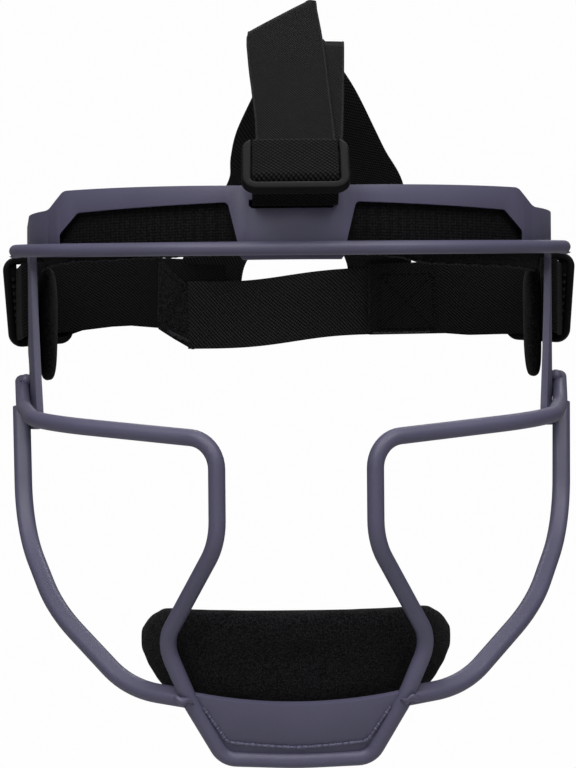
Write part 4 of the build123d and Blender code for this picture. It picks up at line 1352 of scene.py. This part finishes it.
class GUARD_OT_adjusters(bpy.types.Operator):
    """The three moulded slide adjusters"""

    bl_idname = "guard.adjusters"
    bl_label = "Slide adjusters"

    def execute(self, context):
        rim = glide_frame((26.7, 18.0))
        # the strap's end wraps its upper bar, which is thinner at the front to leave it room
        inside = np.clip((13.5 - np.abs(rim[..., 0])) / 0.9, 0, 1)
        upper = rim[..., 1] > 8
        rim[..., 2] = np.minimum(rim[..., 2], MOULDING / 2 - 2.1 * eased(inside) * upper)
        rim[..., 1] -= 0.75 * inside * upper
        at = (by_adjuster(0, 0) + [1.1, 0, 0], (1, 0, 0), ADJUSTER_FRONT)
        parts = [
            skin("rim", placed(rim, *at), hoop=True),
            skin("bar", placed(glide_bar(-2.3, 1.7, 0.12), *at)),
        ]
        obj = joined("crown_adjuster_moulding", parts)
        dress(obj, context, "plastic", "crown_slider", ["crown_adjuster"])
        lean = math.radians(4.5)
        for side, name in SIDES:
            centre = flipped(side_place(0, STRAP_THICKNESS / 2 + 0.3 + MOULDING / 2), side)
            front, outward = flipped(-SIDE_BACK, side), flipped(-SIDE_RUN, side)
            upright = math.sin(lean) * outward + [0, 0, math.cos(lean)]
            at = (centre, upright, front)
            edge = 1 if np.cross(front, upright) @ outward > 0 else -1
            # a row of grip teeth stands on a flange of the outer bar, inside the window
            width, middle = FLANGES[name]
            section = block_section(width, 1.8, 0.6, 20)
            flange = carried(section, xyz([-13.6, 13.6], edge * middle, -0.6), (0, 1, 0))
            parts = [
                skin("rim", placed(glide_frame((27.2, 19.6)), *at), hoop=True),
                skin("bar", placed(glide_bar(0, MOULDING, 0.0), *at)),
                skin("teeth", placed(grip_teeth(edge * 8.7), *at)),
                skin("flange", placed(flange, *at)),
            ]
            obj = joined("side_adjuster_moulding_" + name, parts)
            dress(obj, context, "plastic", "side_slider_" + name, ["side_adjuster_" + name])
        return {"FINISHED"}


# Stage, in metres

# name, place, width and power in watts
LAMPS = (
    ("key on the left", (-0.5, -0.88, 1.15), 0.9, 13.4),
    ("key on the right", (0.55, -0.88, 1.15), 0.9, 13.4),
    ("fill", (-0.3, -1.3, 0.5), 0.8, 4.0),
    ("top", (0.0, 0.15, 1.3), 0.8, 3.8),
    ("back", (0.1, 1.0, 1.0), 0.8, 8.0),
)
LAMPS_AIM = (0.0, 0.03, -0.05)
CAMERA_PLACE = (-0.0066, -0.6, -0.0507)
CAMERA_YAW, CAMERA_ROLL = math.radians(-0.48), math.radians(-0.5)
FLOOR_DROP, FLOOR_START, FLOOR_END, WALL_CURVE, WALL_TOP = 0.42, -3.0, 1.6, 0.8, 3.0


class GUARD_OT_stage(bpy.types.Operator):
    """White floor and backdrop, soft lamps and the camera"""

    bl_idname = "guard.stage"
    bl_label = "Stage"

    def execute(self, context):
        scene = context.scene
        turn = np.linspace(0, math.pi / 2, 40)
        wall = FLOOR_END + WALL_CURVE
        depth = np.linspace(FLOOR_START, FLOOR_END, 40)
        depth = np.concatenate([depth, FLOOR_END + WALL_CURVE * np.sin(turn), [wall]])
        height = np.concatenate([0 * turn, WALL_CURVE * (1 - np.cos(turn))]) - FLOOR_DROP
        height = np.append(height, WALL_TOP)
        grid = xyz([[-4.0, 4.0]], depth[:, None], height[:, None])
        i = np.arange(len(depth) - 1) * 2
        faces = np.stack([i, i + 1, i + 3, i + 2], axis=1).tolist()
        mesh = bpy.data.meshes.new("paper_sweep")
        mesh.from_pydata(grid.reshape(-1, 3).tolist(), [], faces)
        mesh.shade_smooth()
        mesh.materials.append(studio_white("matt white paper", "#bcbcbc"))
        linked("paper_sweep", mesh)

        world = bpy.data.worlds.new("studio")
        scene.world = world
        world.use_nodes = True
        tree = world.node_tree
        tree.nodes.clear()
        soft, bright = (
            add_node(tree, "ShaderNodeBackground", {"Color": (1, 1, 1, 1), "Strength": strength})
            for strength in (0.08, 1.0)
        )
        output(tree, mixed(tree, seen_straight(tree), soft, bright), "World")

        for name, place, size, power in LAMPS:
            data = bpy.data.lights.new(name, "AREA")
            data.size, data.energy = size, power
            lamp = linked(name, data)
            lamp.location = place
            back = unit(np.array(place) - LAMPS_AIM)
            right = unit(np.cross([0.0, 0.0, 1.0], back))
            rows = np.stack([right, np.cross(back, right), back], axis=1)
            lamp.rotation_euler = Matrix(rows.tolist()).to_euler()

        data = bpy.data.cameras.new("camera")
        data.lens, data.sensor_width = scene.guard_sizes.lens, 36.0
        data.clip_start, data.clip_end = 0.02, 20.0
        camera = linked("camera", data)
        turn = Matrix.Rotation(CAMERA_YAW, 4, "Z") @ Matrix.Rotation(math.pi / 2, 4, "X")
        camera.rotation_euler = (turn @ Matrix.Rotation(CAMERA_ROLL, 4, "Z")).to_euler()
        camera.location = CAMERA_PLACE
        scene.camera = camera
        scene.view_settings.view_transform = "Standard"
        return {"FINISHED"}


class GUARD_PT_panel(bpy.types.Panel):
    """Lists the steps that build the guard"""

    bl_idname = "GUARD_PT_panel"
    bl_label = "Face guard"
    bl_space_type = "VIEW_3D"
    bl_region_type = "UI"
    bl_category = "Face guard"

    def draw(self, context):
        column = self.layout.column(align=True)
        for step in STEPS:
            column.operator(step.bl_idname)
        for group in (context.scene.guard_look, context.scene.guard_sizes):
            for name in group.__annotations__:
                self.layout.prop(group, name)


STEPS = (
    GUARD_OT_stage,
    GUARD_OT_steel_frame,
    GUARD_OT_weld_beads,
    GUARD_OT_hook_tape,
    GUARD_OT_crown_strap,
    GUARD_OT_side_straps,
    GUARD_OT_rear_strap,
    GUARD_OT_crown_yoke,
    GUARD_OT_adjusters,
    GUARD_OT_forehead_pad,
    GUARD_OT_temple_pads,
    GUARD_OT_chin_pad,
)
CLASSES = (GuardLook, GuardSizes) + STEPS + (GUARD_PT_panel,)


def register():
    """Registers the properties, steps and panel."""
    for item in CLASSES:
        bpy.utils.register_class(item)
    bpy.types.Scene.guard_look = bpy.props.PointerProperty(type=GuardLook)
    bpy.types.Scene.guard_sizes = bpy.props.PointerProperty(type=GuardSizes)


def unregister():
    """Removes what register added."""
    del bpy.types.Scene.guard_sizes
    del bpy.types.Scene.guard_look
    for item in reversed(CLASSES):
        bpy.utils.unregister_class(item)


def main():
    """Builds every piece in order."""
    register()
    for step in STEPS:
        group, name = step.bl_idname.split(".")
        getattr(getattr(bpy.ops, group), name)()


if __name__ == "__main__":
    main()
